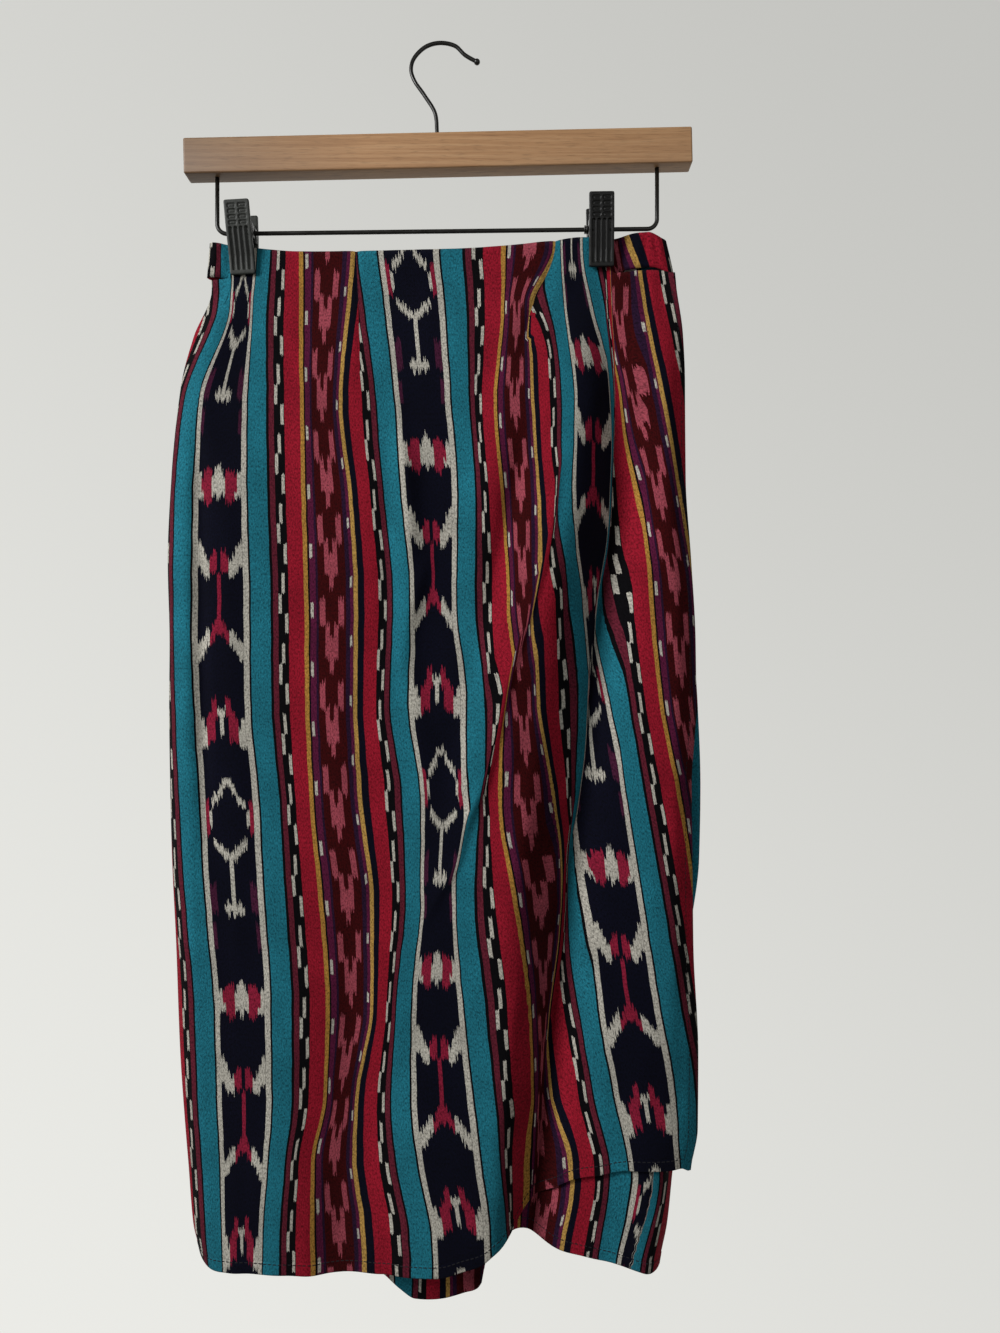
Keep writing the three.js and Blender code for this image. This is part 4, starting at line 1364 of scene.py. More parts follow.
    def _dashes(self, tree: Any, colour: Any, place: Any, down: Any, streak: Any, share: Any) -> Any:
        """The rows of light dashes on the black and wine stripes.

        Args:
            tree: The material's tree.
            colour: The colour under the dashes.
            place: Shares of the warp's repeat across.
            down: Millimetres down the cloth.
            streak: The noise of single threads.
            share: Repeats of the warp, counted from the first navy band.

        Returns:
            The socket with the colour.
        """
        number = add_node(tree, "Math", "FLOOR", i0=share)
        soft = add_node(tree, "Math", "MULTIPLY_ADD", i0=streak, i1=self.dash_feather, i2=down)
        for dash in DASHES:
            first = add_node(tree, "Math", "MULTIPLY_ADD", i0=number, i1=self.dash_step, i2=dash.shift)
            late = add_node(tree, "Math", "ADD", i0=soft, i1=first)
            turns = add_node(tree, "Math", "DIVIDE", i0=late, i1=dash.pitch)
            phase = add_node(tree, "Math", "FRACT", i0=turns)
            lit = dash.length / dash.pitch
            on = add_node(tree, "Math", "LESS_THAN", i0=phase, i1=lit)
            middle = (dash.start + dash.end) / 2 / REPEAT
            half = (dash.end - dash.start) / 2 / REPEAT
            within = add_node(tree, "Math", "COMPARE", i0=place, i1=middle, i2=half)
            both = add_node(tree, "Math", "MULTIPLY", i0=on, i1=within)
            colour = add_node(
                tree, "Mix", LAY_OVER, i0=both, i6=colour, i7=linear(dash.yarn.value)
            ).outputs[2]
        return colour

    def _heather(self, tree: Any, colour: Any, across: Any, down: Any) -> Any:
        """The uneven dye of the yarns, light and dark in short strokes.

        Args:
            tree: The material's tree.
            colour: The colour that it shades.
            across: Millimetres across the cloth.
            down: Millimetres down it.

        Returns:
            The socket with the colour.
        """
        strokes = self._noise(tree, across, down, 1.3, 0.55, 8.0)
        clouds = self._noise(tree, across, down, 0.05, 0.03, 5.0)
        light = add_node(tree, "MapRange", i0=strokes, i1=0.3, i2=0.7, i3=0.62, i4=1.28)
        wide = add_node(tree, "MapRange", i0=clouds, i1=0.3, i2=0.7, i3=0.86, i4=1.1)
        specks = self._noise(tree, across, down, 0.85, 0.6, 13.0)
        speck = add_node(tree, "MapRange", i0=specks, i1=0.53, i2=0.66, i3=1.0, i4=0.58)
        light = add_node(tree, "Math", "MULTIPLY", i0=light, i1=speck)
        both = add_node(tree, "Math", "MULTIPLY", i0=light, i1=wide)
        grey = add_node(tree, "CombineColor", i0=both, i1=both, i2=both)
        return add_node(tree, "Mix", TINT, i0=1.0, i6=colour, i7=grey).outputs[2]

    def _weave(self, tree: Any, shader: Any, across: Any, down: Any) -> None:
        """The low relief of the threads.

        Args:
            tree: The material's tree.
            shader: The surface shader that gets it.
            across: Millimetres across the cloth.
            down: Millimetres down it.
        """
        rate = 2 * math.pi / self.thread
        x = add_node(tree, "Math", "MULTIPLY", i0=across, i1=rate)
        y = add_node(tree, "Math", "MULTIPLY", i0=down, i1=rate)
        warp = add_node(tree, "Math", "SINE", i0=x)
        weft = add_node(tree, "Math", "SINE", i0=y)
        over = add_node(tree, "Math", "MULTIPLY", i0=warp, i1=weft)
        slub = self._noise(tree, across, down, 0.9, 0.35, 2.0)
        height = add_node(tree, "Math", "MULTIPLY_ADD", i0=slub, i1=1.6, i2=over)
        bump = add_node(tree, "Bump", Strength=self.bump, Distance=0.25 * MM, Height=height)
        feed(shader, Normal=bump)


@dataclass(frozen=True)
class Beech:
    """Planed beech under a thin satin lacquer: fine straight grain with short dark flecks."""

    name: str = "beech"

    def make(self) -> bpy.types.Material:
        """Build the material along the bar.

        Returns:
            The material.
        """
        material, tree, shader = new_material(self.name)
        place = add_node(tree, "TexCoord").outputs["Object"]
        grain = add_node(tree, "Mapping", i0=place, Scale=(9.0, 260.0, 420.0))
        rings = add_node(tree, "TexNoise", Vector=grain, Scale=1.0, Detail=4.0, Roughness=0.6)
        flecks = add_node(tree, "Mapping", i0=place, Scale=(90.0, 900.0, 1400.0))
        fleck = add_node(tree, "TexNoise", Vector=flecks, Scale=1.0, Detail=2.0)
        ramp = add_node(tree, "ValToRGB", i0=rings)
        set_ramp(ramp, [(0.3, "#99714d"), (0.5, "#ac835c"), (0.72, "#ba946d")], flat=False)
        x = add_node(tree, "SeparateXYZ", i0=place)
        dark = add_node(tree, "MapRange", i0=fleck, i1=0.34, i2=0.46, i3=0.78, i4=1.0)
        # The wood's colour is darker towards the bar's left end
        darker_at_left = add_node(tree, "MapRange", i0=x, i1=-0.18, i2=-0.05, i3=0.42, i4=1.0)
        dark = add_node(tree, "Math", "MULTIPLY", i0=dark, i1=darker_at_left)
        grey = add_node(tree, "CombineColor", i0=dark, i1=dark, i2=dark)
        mixed = add_node(tree, "Mix", TINT, i0=1.0, i6=ramp, i7=grey).outputs[2]
        feed(shader, Base_Color=mixed, Roughness=0.5)
        bump = add_node(tree, "Bump", Strength=0.2, Distance=0.15 * MM, Height=fleck)
        feed(shader, Normal=bump)
        return material


@dataclass(frozen=True)
class WornFinish:
    """One colour all over, whose shine and tone vary a little where it is rubbed."""

    name: str
    colour: str
    low: float  # its roughness where it is rubbed, and where it isn't
    high: float
    metallic: float = 0.0

    def make(self) -> bpy.types.Material:
        """Build the material.

        Returns:
            The material.
        """
        material, tree, shader = new_material(self.name)
        place = add_node(tree, "TexCoord").outputs["Object"]
        rub = add_node(tree, "TexNoise", Vector=place, Scale=160.0, Detail=3.0)
        rough = add_node(tree, "MapRange", i0=rub, i1=0.3, i2=0.7, i3=self.low, i4=self.high)
        feed(shader, Roughness=rough)
        tone = add_node(tree, "MapRange", i0=rub, i1=0.3, i2=0.7, i3=0.85, i4=1.25)
        red, green, blue, _ = linear(self.colour)
        scaled = [
            add_node(tree, "Math", "MULTIPLY", i0=tone, i1=value)
            for value in (red, green, blue)
        ]
        colour = add_node(tree, "CombineColor", i0=scaled[0], i1=scaled[1], i2=scaled[2])
        feed(shader, Base_Color=colour, Metallic=self.metallic)
        return material


# Steel wire under a satin black coat: a soft line of light along each wire
COATED_WIRE = WornFinish("black_wire", "#12110d", 0.3, 0.48, 0.1)
# Drawn spring steel, bright but greyed by handling
SPRING_STEEL = WornFinish("spring_steel", "#55585a", 0.3, 0.45, 0.9)
# Spun cotton thread: nearly black, with no shine
SEWING_THREAD = WornFinish("navy_thread", "#0b0a12", 0.8, 0.8, 0.1)


@dataclass(frozen=True)
class MouldedPlastic:
    """Moulded plastic with a soft shine, in a lit copy and a shaded copy: the left clip is painted paler, a
    painted reflection of the window light, and the right one darker, as painted shade.
    """

    name: str = "black_plastic"
    # pale is the left clip's colour, with a painted reflection of the window light; dark is the right clip's,
    # with painted shade
    pale: str = "#353734"
    dark: str = "#090908"

    def make(self) -> bpy.types.Material:
        """Build the material, pale at the left of the hanger's middle and dark at the right.

        Returns:
            The material.
        """
        material, tree, shader = new_material(self.name)
        place = add_node(tree, "TexCoord").outputs["Object"]
        x = add_node(tree, "SeparateXYZ", i0=place)
        # Painted light: pale, a painted reflection, at the left of the hanger's middle; dark, painted shade,
        # at the right
        side = add_node(tree, "MapRange", i0=x, i1=-0.05, i2=0.05, i3=0.0, i4=1.0)
        grime = add_node(tree, "TexNoise", Vector=place, Scale=420.0, Detail=3.0)
        colour = add_node(
            tree, "Mix", LAY_OVER, i0=side, i6=linear(self.pale), i7=linear(self.dark)
        ).outputs[2]
        tone = add_node(tree, "MapRange", i0=grime, i1=0.3, i2=0.7, i3=0.8, i4=1.15)
        grey = add_node(tree, "CombineColor", i0=tone, i1=tone, i2=tone)
        mixed = add_node(tree, "Mix", TINT, i0=1.0, i6=colour, i7=grey).outputs[2]
        feed(shader, Base_Color=mixed)
        rough = add_node(tree, "MapRange", i0=grime, i1=0.3, i2=0.7, i3=0.42, i4=0.58)
        feed(shader, Roughness=rough)
        feed(shader, Specular_IOR_Level=0.35)
        return material


# The hanger


def finish_piece(
    bm: bmesh.types.BMesh, name: str, material: bpy.types.Material, node: str
) -> bpy.types.Object:
    """Turn a mesh of the hanger into a piece that stands in for its solid.

    Args:
        bm: The mesh, in metres at its own place.
        name: The object's name.
        material: Its finish.
        node: The CAD node that it takes the place of.

    Returns:
        The new object.
    """
    obj = to_object(bm, name)
    obj.data.materials.append(material)
    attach(obj, "root")
    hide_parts(node)
    return obj


@dataclass(frozen=True)
class Bar:
    """The planed wooden bar, a little tilted, its edges just eased."""

    length: float = 356.5
    height: float = 25.0
    depth: float = 15.5
    middle_z: float = -77.9
    tilt: float = math.radians(1.28)
    eased: float = 1.3

    def build(self, wood: bpy.types.Material) -> bpy.types.Object:
        """Build the bar in the place of its solid.

        Args:
            wood: Its finish.

        Returns:
            The bar.
        """
        bm = bmesh.new()
        bmesh.ops.create_cube(bm, size=1.0)
        bmesh.ops.scale(bm, verts=bm.verts, vec=(self.length * MM, self.depth * MM, self.height * MM))
        bmesh.ops.bevel(
            bm, geom=list(bm.edges), offset=self.eased * MM, offset_type="OFFSET", segments=4, profile=0.5,
            affect="EDGES", material=-1,
        )
        turned = Matrix.Translation((0, 0, self.middle_z * MM)) @ Matrix.Rotation(-self.tilt, 4, "Y")
        bmesh.ops.transform(bm, matrix=turned, verts=bm.verts)
        return finish_piece(bm, "wooden_bar", wood, "hanger_bar")

    def underside(self, x: float) -> float:
        """The height of the bar's underside at a place across."""
        return self.middle_z - self.height / 2 + x * math.tan(self.tilt)


@dataclass(frozen=True)
class Hook:
    """The wire hook, with a small ball at its tip."""

    wire: float = 2.8
    ball: float = 0.78  # the ball's radius as a share of the wire's thickness
    # The middle of the wire: places across and up
    route: tuple[tuple[float, float], ...] = (
        (-1.1, -76), (-1.1, -60.8), (-2.5, -48.1), (-10.2, -35.3), (-17.2, -25), (-19.4, -17.5),
        (-17.6, -10), (-9.5, -1.6), (0.4, 1.4), (11.7, -0.7), (18.7, -7.1), (27.2, -12),
    )

    def build(self, coat: bpy.types.Material) -> bpy.types.Object:
        """Build the hook in the place of its solid.

        Args:
            coat: Its finish.

        Returns:
            The hook.
        """
        bm = bmesh.new()
        tube(bm, spline(self.route, 12), self.wire / 2)
        tip_x, tip_z = self.route[-1]
        tip = Matrix.Translation((tip_x * MM, 0, tip_z * MM))
        radius = self.wire * self.ball * MM
        bmesh.ops.create_uvsphere(bm, u_segments=18, v_segments=12, radius=radius, matrix=tip)
        return finish_piece(bm, "hook", coat, "hanger_hook")


@dataclass(frozen=True)
class WireFrame:
    """The wire frame: down from the bar, along under the clips and up again, with two washers."""

    bar: Bar = Bar()
    wire: float = 3.0
    left: float = -156.4
    right: float = 154.5
    left_z: float = -133.6
    right_z: float = -130.1
    bend: float = 7.0
    left_seated: float = 5.0  # how far each end reaches into the bar
    right_seated: float = 7.5
    washers: tuple[float, float] = (103.6, 104.9)
    washer_radius: float = 2.9
    washer_half: float = 0.5

    def rod_height(self, x: float) -> float:
        """The height of the rod at a place across."""
        return self.left_z + (self.right_z - self.left_z) * (x - self.left) / (self.right - self.left)

    def build(self, coat: bpy.types.Material) -> bpy.types.Object:
        """Build the frame in the place of its solid.

        Args:
            coat: Its finish.

        Returns:
            The frame.
        """
        turns = np.linspace(0, math.pi / 2, 14)
        left = [self._corner(self.left, self.left_z, 1, a) for a in turns]
        right = [self._corner(self.right, self.right_z, -1, a) for a in turns[::-1]]
        start = (self.left, self.bar.underside(self.left) + self.left_seated)
        end = (self.right, self.bar.underside(self.right) + self.right_seated)
        line = np.array([(x, 0.0, z) for x, z in [start, *left, *right, end]])
        bm = bmesh.new()
        tube(bm, line, self.wire / 2)
        for x in self.washers:
            z = self.rod_height(x)
            ring = np.array([(x - self.washer_half, 0.0, z), (x + self.washer_half, 0.0, z)])
            tube(bm, ring, self.washer_radius)
        return finish_piece(bm, "wire_frame", coat, "hanger_frame")

    def _corner(self, x: float, z: float, inwards: int, turn: float) -> tuple[float, float]:
        """A point of the bend at one lower corner, by how far the wire has turned."""
        return (x + inwards * self.bend * (1 - math.cos(turn)), z + self.bend * (1 - math.sin(turn)))


@dataclass(frozen=True)
class Slot:
    """A rounded slot pressed into a jaw's face, or raised from it where its depth is less than 0."""

    half_x: float
    half_z: float
    radius: float
    depth: float
    rim: float = 0.35

    def depth_at(self, x: Array, z: Array) -> Array:
        """How deep the face is at places measured from the slot's middle.

        Args:
            x: Places across, in millimetres.
            z: Places up.

        Returns:
            The depth at each place.
        """
        across, up = np.abs(x) - self.half_x + self.radius, np.abs(z) - self.half_z + self.radius
        beyond = np.hypot(np.maximum(across, 0), np.maximum(up, 0))
        away = beyond + np.minimum(np.maximum(across, up), 0) - self.radius
        return self.depth * ease(0.5 - away / self.rim)


@dataclass(frozen=True)
class Coil:
    """The spring of one clip: a coil round the rod with a leg under each thumb plate."""

    wire: float = 1.0
    turns: int = 8
    steps: int = 16
    half: float = 4.9
    radius: float = 3.1
    legs: tuple[tuple[float, float], ...] = ((8.2, 11.0), (4.6, 4.0))  # depth, and height over the rod

    def line(self, rod: float) -> Array:
        """The middle line of the spring's wire.

        Args:
            rod: How high the rod is above the clip's middle.

        Returns:
            Points in millimetres, one row each.
        """
        turns = np.linspace(0, 2 * math.pi * self.turns, self.turns * self.steps + 1)
        x = np.linspace(-self.half, self.half, len(turns))
        y, z = self.radius * np.cos(turns), rod + self.radius * np.sin(turns)
        first = np.array([[-self.half, depth, rod + up] for depth, up in self.legs])
        last = np.array([[self.half, depth, rod + up] for depth, up in self.legs[::-1]])
        return np.vstack([first, np.stack([x, y, z], axis=-1), last])


@dataclass(frozen=True)
class Clip:
    """One clip: two pressed jaws with thumb pits and grooves, and the spring on the rod between them."""

    side: str
    x: float
    z: float
    lean: float
    frame: WireFrame = WireFrame()
    coil: Coil = Coil()
    width: float = 17.5
    height: float = 49.0
    plate: float = 3.0
    corner: float = 0.8  # the rounding of the plate's long edges, and of its ends
    end: float = 1.2
    bend_up: float = 12.5  # from the plate's foot to its first bend
    outer: tuple[float, ...] = (6.7, 8.1, 12.4, 14.3)  # depths of its faces, foot to top
    inner: tuple[float, ...] = (4.3, 4.3, 8.8, 11.3)
    lug: float = 3.0
    lug_inset: float = 0.15
    lug_start: float = 9.6
    play: float = 0.85  # between the rod and a lug
    pit: Slot = Slot(2.95, 1.5, 1.2, 0.75)
    ring: Slot = Slot(1.7, 0.45, 0.4, -0.35)
    pit_x: float = 3.65
    pit_top: float = 4.0  # from the plate's top to the first row of pits
    pit_pitch: float = 3.8
    groove: Slot = Slot(1.2, 14.2, 1.1, 1.2)
    groove_places: tuple[float, ...] = (-5.55, -1.85, 1.85, 5.55)
    groove_z: float = -7.6

    def build(self, plastic: bpy.types.Material, steel: bpy.types.Material) -> list[bpy.types.Object]:
        """Build both jaws and the spring, in the places of their solids.

        Args:
            plastic: The jaws' finish.
            steel: The spring's finish.

        Returns:
            The front jaw, the back jaw and the spring.
        """
        pieces = []
        for jaw, sign in (("front", -1), ("back", 1)):
            bm = bmesh.new()
            self._plate(bm, sign)
            self._lugs(bm, sign)
            bmesh.ops.transform(bm, matrix=self._turned(), verts=bm.verts)
            name, node = f"{self.side}_clip_{jaw}", f"clip_{self.side}_{jaw}"
            pieces.append(finish_piece(bm, name, plastic, node))
        bm = bmesh.new()
        tube(bm, self.coil.line(self.rod), self.coil.wire / 2, 8)
        bmesh.ops.transform(bm, matrix=self._turned(), verts=bm.verts)
        name, node = f"{self.side}_clip_coil", f"clip_{self.side}_spring"
        return [*pieces, finish_piece(bm, name, steel, node)]

    @property
    def rod(self) -> float:
        """How high the rod is above the clip's middle."""
        return self.frame.rod_height(self.x) - self.z

    def _turned(self) -> Matrix:
        """The clip's lean about the rod, and its place.

        Returns:
            The transform from the clip's own frame, in metres.
        """
        lean = Matrix.Rotation(-math.radians(self.lean), 4, "Y")
        down = Matrix.Translation((0, 0, -self.rod * MM))
        return Matrix.Translation((self.x * MM, 0, (self.z + self.rod) * MM)) @ lean @ down

    def _section(self) -> Array:
        """The plate's section, round from its outer face.

        Returns:
            A row for each point: the place across, the depth from the outer face, and 1 where the relief
            is cut.
        """
        w, c, p = self.width / 2, self.corner, self.plate
        points = [(x, 0.0, 1.0) for x in np.linspace(-w + c, w - c, 65)]
        turns = [math.pi / 8 * k for k in (1, 2, 3, 4)]
        points += [(w - c + c * math.sin(a), c - c * math.cos(a), 0.0) for a in turns]
        points += [(w - c + c * math.cos(a), p - c + c * math.sin(a), 0.0) for a in [0.0, *turns]]
        points += [(x, p, 0.0) for x in np.linspace(w - c, -w + c, 6)[1:]]
        points += [(-w + c - c * math.sin(a), p - c + c * math.cos(a), 0.0) for a in turns]
        points += [(-w + c - c * math.cos(a), c - c * math.sin(a), 0.0) for a in [0.0, *turns]]
        return np.array(points)

    def _plate(self, bm: bmesh.types.BMesh, sign: int) -> None:
        """The jaw's plate, bent where the rod is, with rounded ends.

        Args:
            bm: The mesh to add to.
            sign: -1 for the front jaw and 1 for the back one.
        """
        section = self._section()
        half = self.height / 2
        ends = self.end * (1 - np.cos(np.linspace(0, math.pi / 2, 6)))
        heights = np.concatenate([half - ends, np.linspace(half - self.end, -half + self.end, 165)[1:-1]])
        heights = np.concatenate([heights, (-half + ends)[::-1]])
        rows = len(heights) - 1
        made = bmesh.ops.create_grid(bm, x_segments=len(section) - 1, y_segments=rows, size=0.5)["verts"]
        grid = np.array([vert.co[:2] for vert in made])
        column = np.rint((grid[:, 0] + 0.5) * (len(section) - 1)).astype(int)
        row = np.rint((grid[:, 1] + 0.5) * rows).astype(int)
        z = heights[row]
        reach = np.clip(half - np.abs(z), 0, self.end)
        inset = self.end - np.sqrt(np.maximum(self.end**2 - (self.end - reach) ** 2, 0))
        x = section[column, 0] * (1 - inset / (self.width / 2))
        thin = (self.plate / 2 - 0.55 * inset) / (self.plate / 2)
        depth = self.plate / 2 + (section[column, 1] - self.plate / 2) * thin
        depth = depth + section[column, 2] * self._relief(x, z)
        bends = [-half, -half + self.bend_up, self.rod + 2, half]
        outer, inner = np.interp(z, bends, self.outer), np.interp(z, bends, self.inner)
        y = outer + (inner - outer) * depth / self.plate
        for vert, point in zip(made, np.stack([x, sign * y, z], axis=-1)):
            vert.co = Vector(point) * MM
        close(bm, made)

    def _relief(self, x: Array, z: Array) -> Array:
        """How deep the thumb pits with their rings, and the grooves, are.

        Args:
            x: Places across the plate.
            z: Places up it.

        Returns:
            The depth at each place.
        """
        deep = np.zeros_like(x)
        for row in range(4):
            for across in (-self.pit_x, self.pit_x):
                up = z - (self.height / 2 - self.pit_top - self.pit_pitch * row)
                deep += self.pit.depth_at(x - across, up)
                deep += self.ring.depth_at(x - across, up)
        for across in self.groove_places:
            deep += self.groove.depth_at(x - across, z - self.groove_z)
        return deep

    def _lugs(self, bm: bmesh.types.BMesh, sign: int) -> None:
        """The two lugs that ride on the rod.

        Args:
            bm: The mesh to add to.
            sign: -1 for the front jaw and 1 for the back one.
        """
        reach = self.frame.wire / 2 + self.play
        start = -self.lug_start
        turns = [-math.pi / 2 - math.pi * i / 8 for i in range(9)]
        outline = [(start, self.rod - 5), (-1.2, self.rod - 4.5), (-0.3, self.rod - reach - 0.8)]
        outline += [(math.cos(a) * reach - 0.3, self.rod + math.sin(a) * reach) for a in turns]
        outline += [(-0.3, self.rod + reach + 0.8), (-1.2, self.rod + 4.5), (start, self.rod + 5)]
        outline = [(-sign * y, z) for y, z in outline]
        for side in (-1, 1):
            outer = side * (self.width / 2 - self.lug_inset)
            prism(bm, outline, outer - side * self.lug, outer)
        bmesh.ops.recalc_face_normals(bm, faces=bm.faces)


@dataclass(frozen=True)
class Hanger:
    """The wooden bar, its hook, the wire frame and the two clips."""

    bar: Bar = Bar()
    hook: Hook = Hook()
    frame: WireFrame = WireFrame()
    clips: tuple[Clip, ...] = (Clip("left", -138.6, -139.9, 3.4), Clip("right", 114.4, -134.5, 0.8))

    def build(self) -> list[bpy.types.Object]:
        """Build every piece of the hanger in the place of its solid.

        Returns:
            The pieces.
        """
        coat = COATED_WIRE.make()
        pieces = [self.bar.build(Beech().make()), self.hook.build(coat), self.frame.build(coat)]
        plastic = MouldedPlastic().make()
        steel = SPRING_STEEL.make()
        for clip in self.clips:
            pieces += clip.build(plastic, steel)
        return pieces


# The skirt


def solids_of(name: str) -> list[str]:
    """The six CAD nodes that one panel's solid is parted into."""
    return [f"{name}_{level}_{side}" for level in ("upper", "middle", "lower") for side in ("left", "right")]


@dataclass(frozen=True)
class Casing:
    """The elastic casing, round the back and forward at both ends."""

    form: SkirtForm
    height: float = 24.0
    wall: float = 1.3
    columns: int = 300
    rows: int = 10
    clips: tuple[float, float] = (-137.4, 114.4)  # where the clips hold it
    pressed: float = 12.0  # how far to each side of them it is flat
    fading: float = 14.0  # how far beyond that the gathers grow to full
    ripple: float = 0.35
    calm: tuple[float, float] = (102.0, 126.0)  # the stretch where the ripples nearly stop
    tuck: float = 0.9  # how far the lower edge of the front ends lies back
    slant: float = 6.0  # how far the stripes of the right front end lean, from its upper to its lower edge
    slant_start: float = 100.0
    slant_end: float = 162.0
    slant_fading: float = 22.0

    def build(self) -> bpy.types.Object:
        """Build the casing along its route.

        Returns:
            The casing's object.
        """
        last = len(CASING_ROUTE) - 1
        stations = [dict(row, at=i / last) for i, row in enumerate(CASING_ROUTE)]
        bm = bmesh.new()
        bmesh.ops.create_grid(bm, x_segments=self.columns, y_segments=self.rows, size=0.5)
        grid = np.array([vert.co[:2] for vert in bm.verts])
        s, t = grid[:, 0] + 0.5, 0.5 - grid[:, 1]
        x = Curve(stations, "at", "x")(s)
        y = self._depth(x, Curve(stations, "at", "y")(s), t)
        z = Curve(stations, "at", "top")(s) - self.height * t
        x = x + Curve(stations, "at", "spread")(s) * t
        for vert, point in zip(bm.verts, np.stack([x, y, z], axis=-1)):
            vert.co = Vector(point) * MM
        u = Curve(CASING_STRIPES, "station", "across")(s * last) - self._lean(x, y, t)
        layer = bm.loops.layers.uv.new("cloth")
        for face in bm.faces:
            for loop in face.loops:
                i = loop.vert.index
                loop[layer].uv = (u[i] * MM, -z[i] * MM)
        bmesh.ops.recalc_face_normals(bm, faces=bm.faces)
        obj = to_object(bm, "casing_cloth")
        add_wall(obj, self.wall)
        return obj

    def _depth(self, x: Array, y: Array, t: Array) -> Array:
        """The depth of the casing with its gathers and ripples.

        Args:
            x: Places across.
            y: The route's own depth.
            t: Shares of the casing's height, from its upper edge.

        Returns:
            The depth at each place.
        """
        from_clip = np.min([np.abs(x - clip) for clip in self.clips], axis=0)
        free = np.clip(y / 3, 0, 1) * np.clip((from_clip - self.pressed) / self.fading, 0, 1)
        wave = self.ripple * np.sin(x * 1.1 + 1.7 * np.sin(x / 9))
        wave = wave * np.sin(np.pi * np.clip(t * 1.15, 0, 1))
        calm = (x > self.calm[0]) & (x < self.calm[1])
        ripple = wave * np.where(calm, 0.2, 1)
        y = y + free * self.form.gather_at(x) + ripple
        return y + self.tuck * t * np.clip(-y - 2, 0, 1)

    def _lean(self, x: Array, y: Array, t: Array) -> Array:
        """How far the stripes have leant across: only at the right front end.

        Args:
            x: Places across.
            y: Depths.
            t: Shares of the casing's height, from its upper edge.

        Returns:
            Millimetres across the cloth.
        """
        front = np.clip(1 - 2 * y, 0, 1)
        begun = np.clip(x - self.slant_start, 0, 1)
        left = np.clip((self.slant_end - x) / self.slant_fading, 0, 1)
        return self.slant * t * (front * begun * left)


@dataclass(frozen=True)
class Skirt:
    """The skirt: an over panel, an under panel, a gathered back and its elastic casing."""

    form: SkirtForm = SkirtForm()
    cotton: IkatCotton = IkatCotton()
    stitching: Stitching = Stitching()
    underlap_start: float = 0.545  # shares of the front's width: where the under panel starts
    underlap_turn: float = 0.86  # and where it turns in to the seam
    sewn_length: float = 705.0  # a panel along its cloth, and its stitches' distance from the hem
    hem_stitch: float = 7.4
    front_width: float = 345.0
    edge_stitch: float = 5.2  # from the free edge to its stitches
    back_start: float = 93.2  # how far across the cloth the back's stripes are at the middle
    back_loose: float = 1.08  # cloth across for each millimetre seen
    back_sway: float = 6.0  # how far its stripes have drifted at the hem

    def build(self) -> list[bpy.types.Object]:
        """Build and dress every piece of the skirt.

        Returns:
            The three panels, the casing and the stitches.
        """
        material = self.cotton.make()
        panels = (self._over_panel(), self._under_panel(), self._back_panel())
        pieces = [*(panel.build() for panel in panels), Casing(self.form).build()]
        for piece in pieces:
            piece.data.materials.append(material)
            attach(piece, "root")
        over, under, back, casing = pieces
        for piece, name in ((over, "over"), (under, "under"), (back, "back")):
            for part in solids_of(name):
                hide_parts(part)
        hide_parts("back_waist_casing")
        seams = self._stitches(*panels)
        return [*pieces, *seams]

    def _stitches(self, over: Panel, under: Panel, back: Panel) -> list[bpy.types.Object]:
        """The machine stitches of the hems and of the free edge.

        Args:
            over: The over panel.
            under: The under panel.
            back: The back panel.

        Returns:
            One object for each panel.
        """
        thread = SEWING_THREAD.make()
        hem = 1 - self.hem_stitch / self.sewn_length
        edge = 1 - self.edge_stitch / self.front_width
        # Each row runs from one share of the panel's width and height to another
        runs = [
            ("over_stitches", over, [((0.012, hem), (edge, hem)), ((edge, 0.02), (edge, hem))]),
            ("under_stitches", under, [((self.underlap_start + 0.01, hem), (0.985, hem))]),
            ("back_stitches", back, [((0.02, hem), (0.985, hem))]),
        ]
        pieces = []
        for name, panel, lines in runs:
            bm = bmesh.new()
            for start, end in lines:
                self.stitching.sew(bm, panel, start, end)
            obj = to_object(bm, name, smooth=False)
            obj.data.materials.append(thread)
            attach(obj, "root")
            pieces.append(obj)
        return pieces

    def _over_panel(self) -> Panel:
        """The over panel, with its darts and its hemmed free edge."""
        chart = StripeChart(OVER_STRIPES, {stripe.name: stripe.value for stripe in Stripe}, DARTS, LAPS)
        return Panel(
            "over_cloth", self._front_across, self.form.over, OVER_TOP, OVER_HEM, OVER_COLUMNS, 214,
            chart.read, darts=DARTS, laps=LAPS, side_hem=True,
        )

    def _under_panel(self) -> Panel:
        """The under panel, which turns in to the right seam at its last columns."""
        chart = StripeChart(UNDER_STRIPES, UNDER_STATIONS, [], [])
        return Panel(
            "under_cloth", self._under_across, self.form.under, UNDER_TOP, UNDER_HEM, 80, 220,
            chart.read, share=(self.underlap_start, 1.0),
        )

    def _back_panel(self) -> Panel:
        """The back panel, whose inside looks to the front."""
        return Panel(
            "back_cloth", self._back_across, self.form.behind, BACK_TOP, BACK_HEM, 190, 190,
            self._back_stripes,
        )

    def _front_across(self, s: Array, z: Array) -> Array:
        """The place across the front at a share of its width."""
        return self.form.left(z) + (self.form.right(z) - self.form.left(z)) * s

    def _under_across(self, s: Array, z: Array) -> Array:
        """The place across the under panel at a share of the front's width."""
        turn = np.clip((s - self.underlap_turn) / (1 - self.underlap_turn), 0, 1) ** 2
        return self._front_across(s, z) + turn * (self.form.seam(z) - self.form.right(z))

    def _back_across(self, s: Array, z: Array) -> Array:
        """The place across the back at a share of its width."""
        return self.form.left(z) + (self.form.seam(z) - self.form.left(z)) * s

    def _back_stripes(self, x: Array, z: Array, _: Array) -> Array:
        """How far across the cloth each place of the back is: its stripes run the other way."""
        return self.back_start - x * self.back_loose + self.back_sway * ease((-z - 200) / 500)


# The camera, the lights and the room


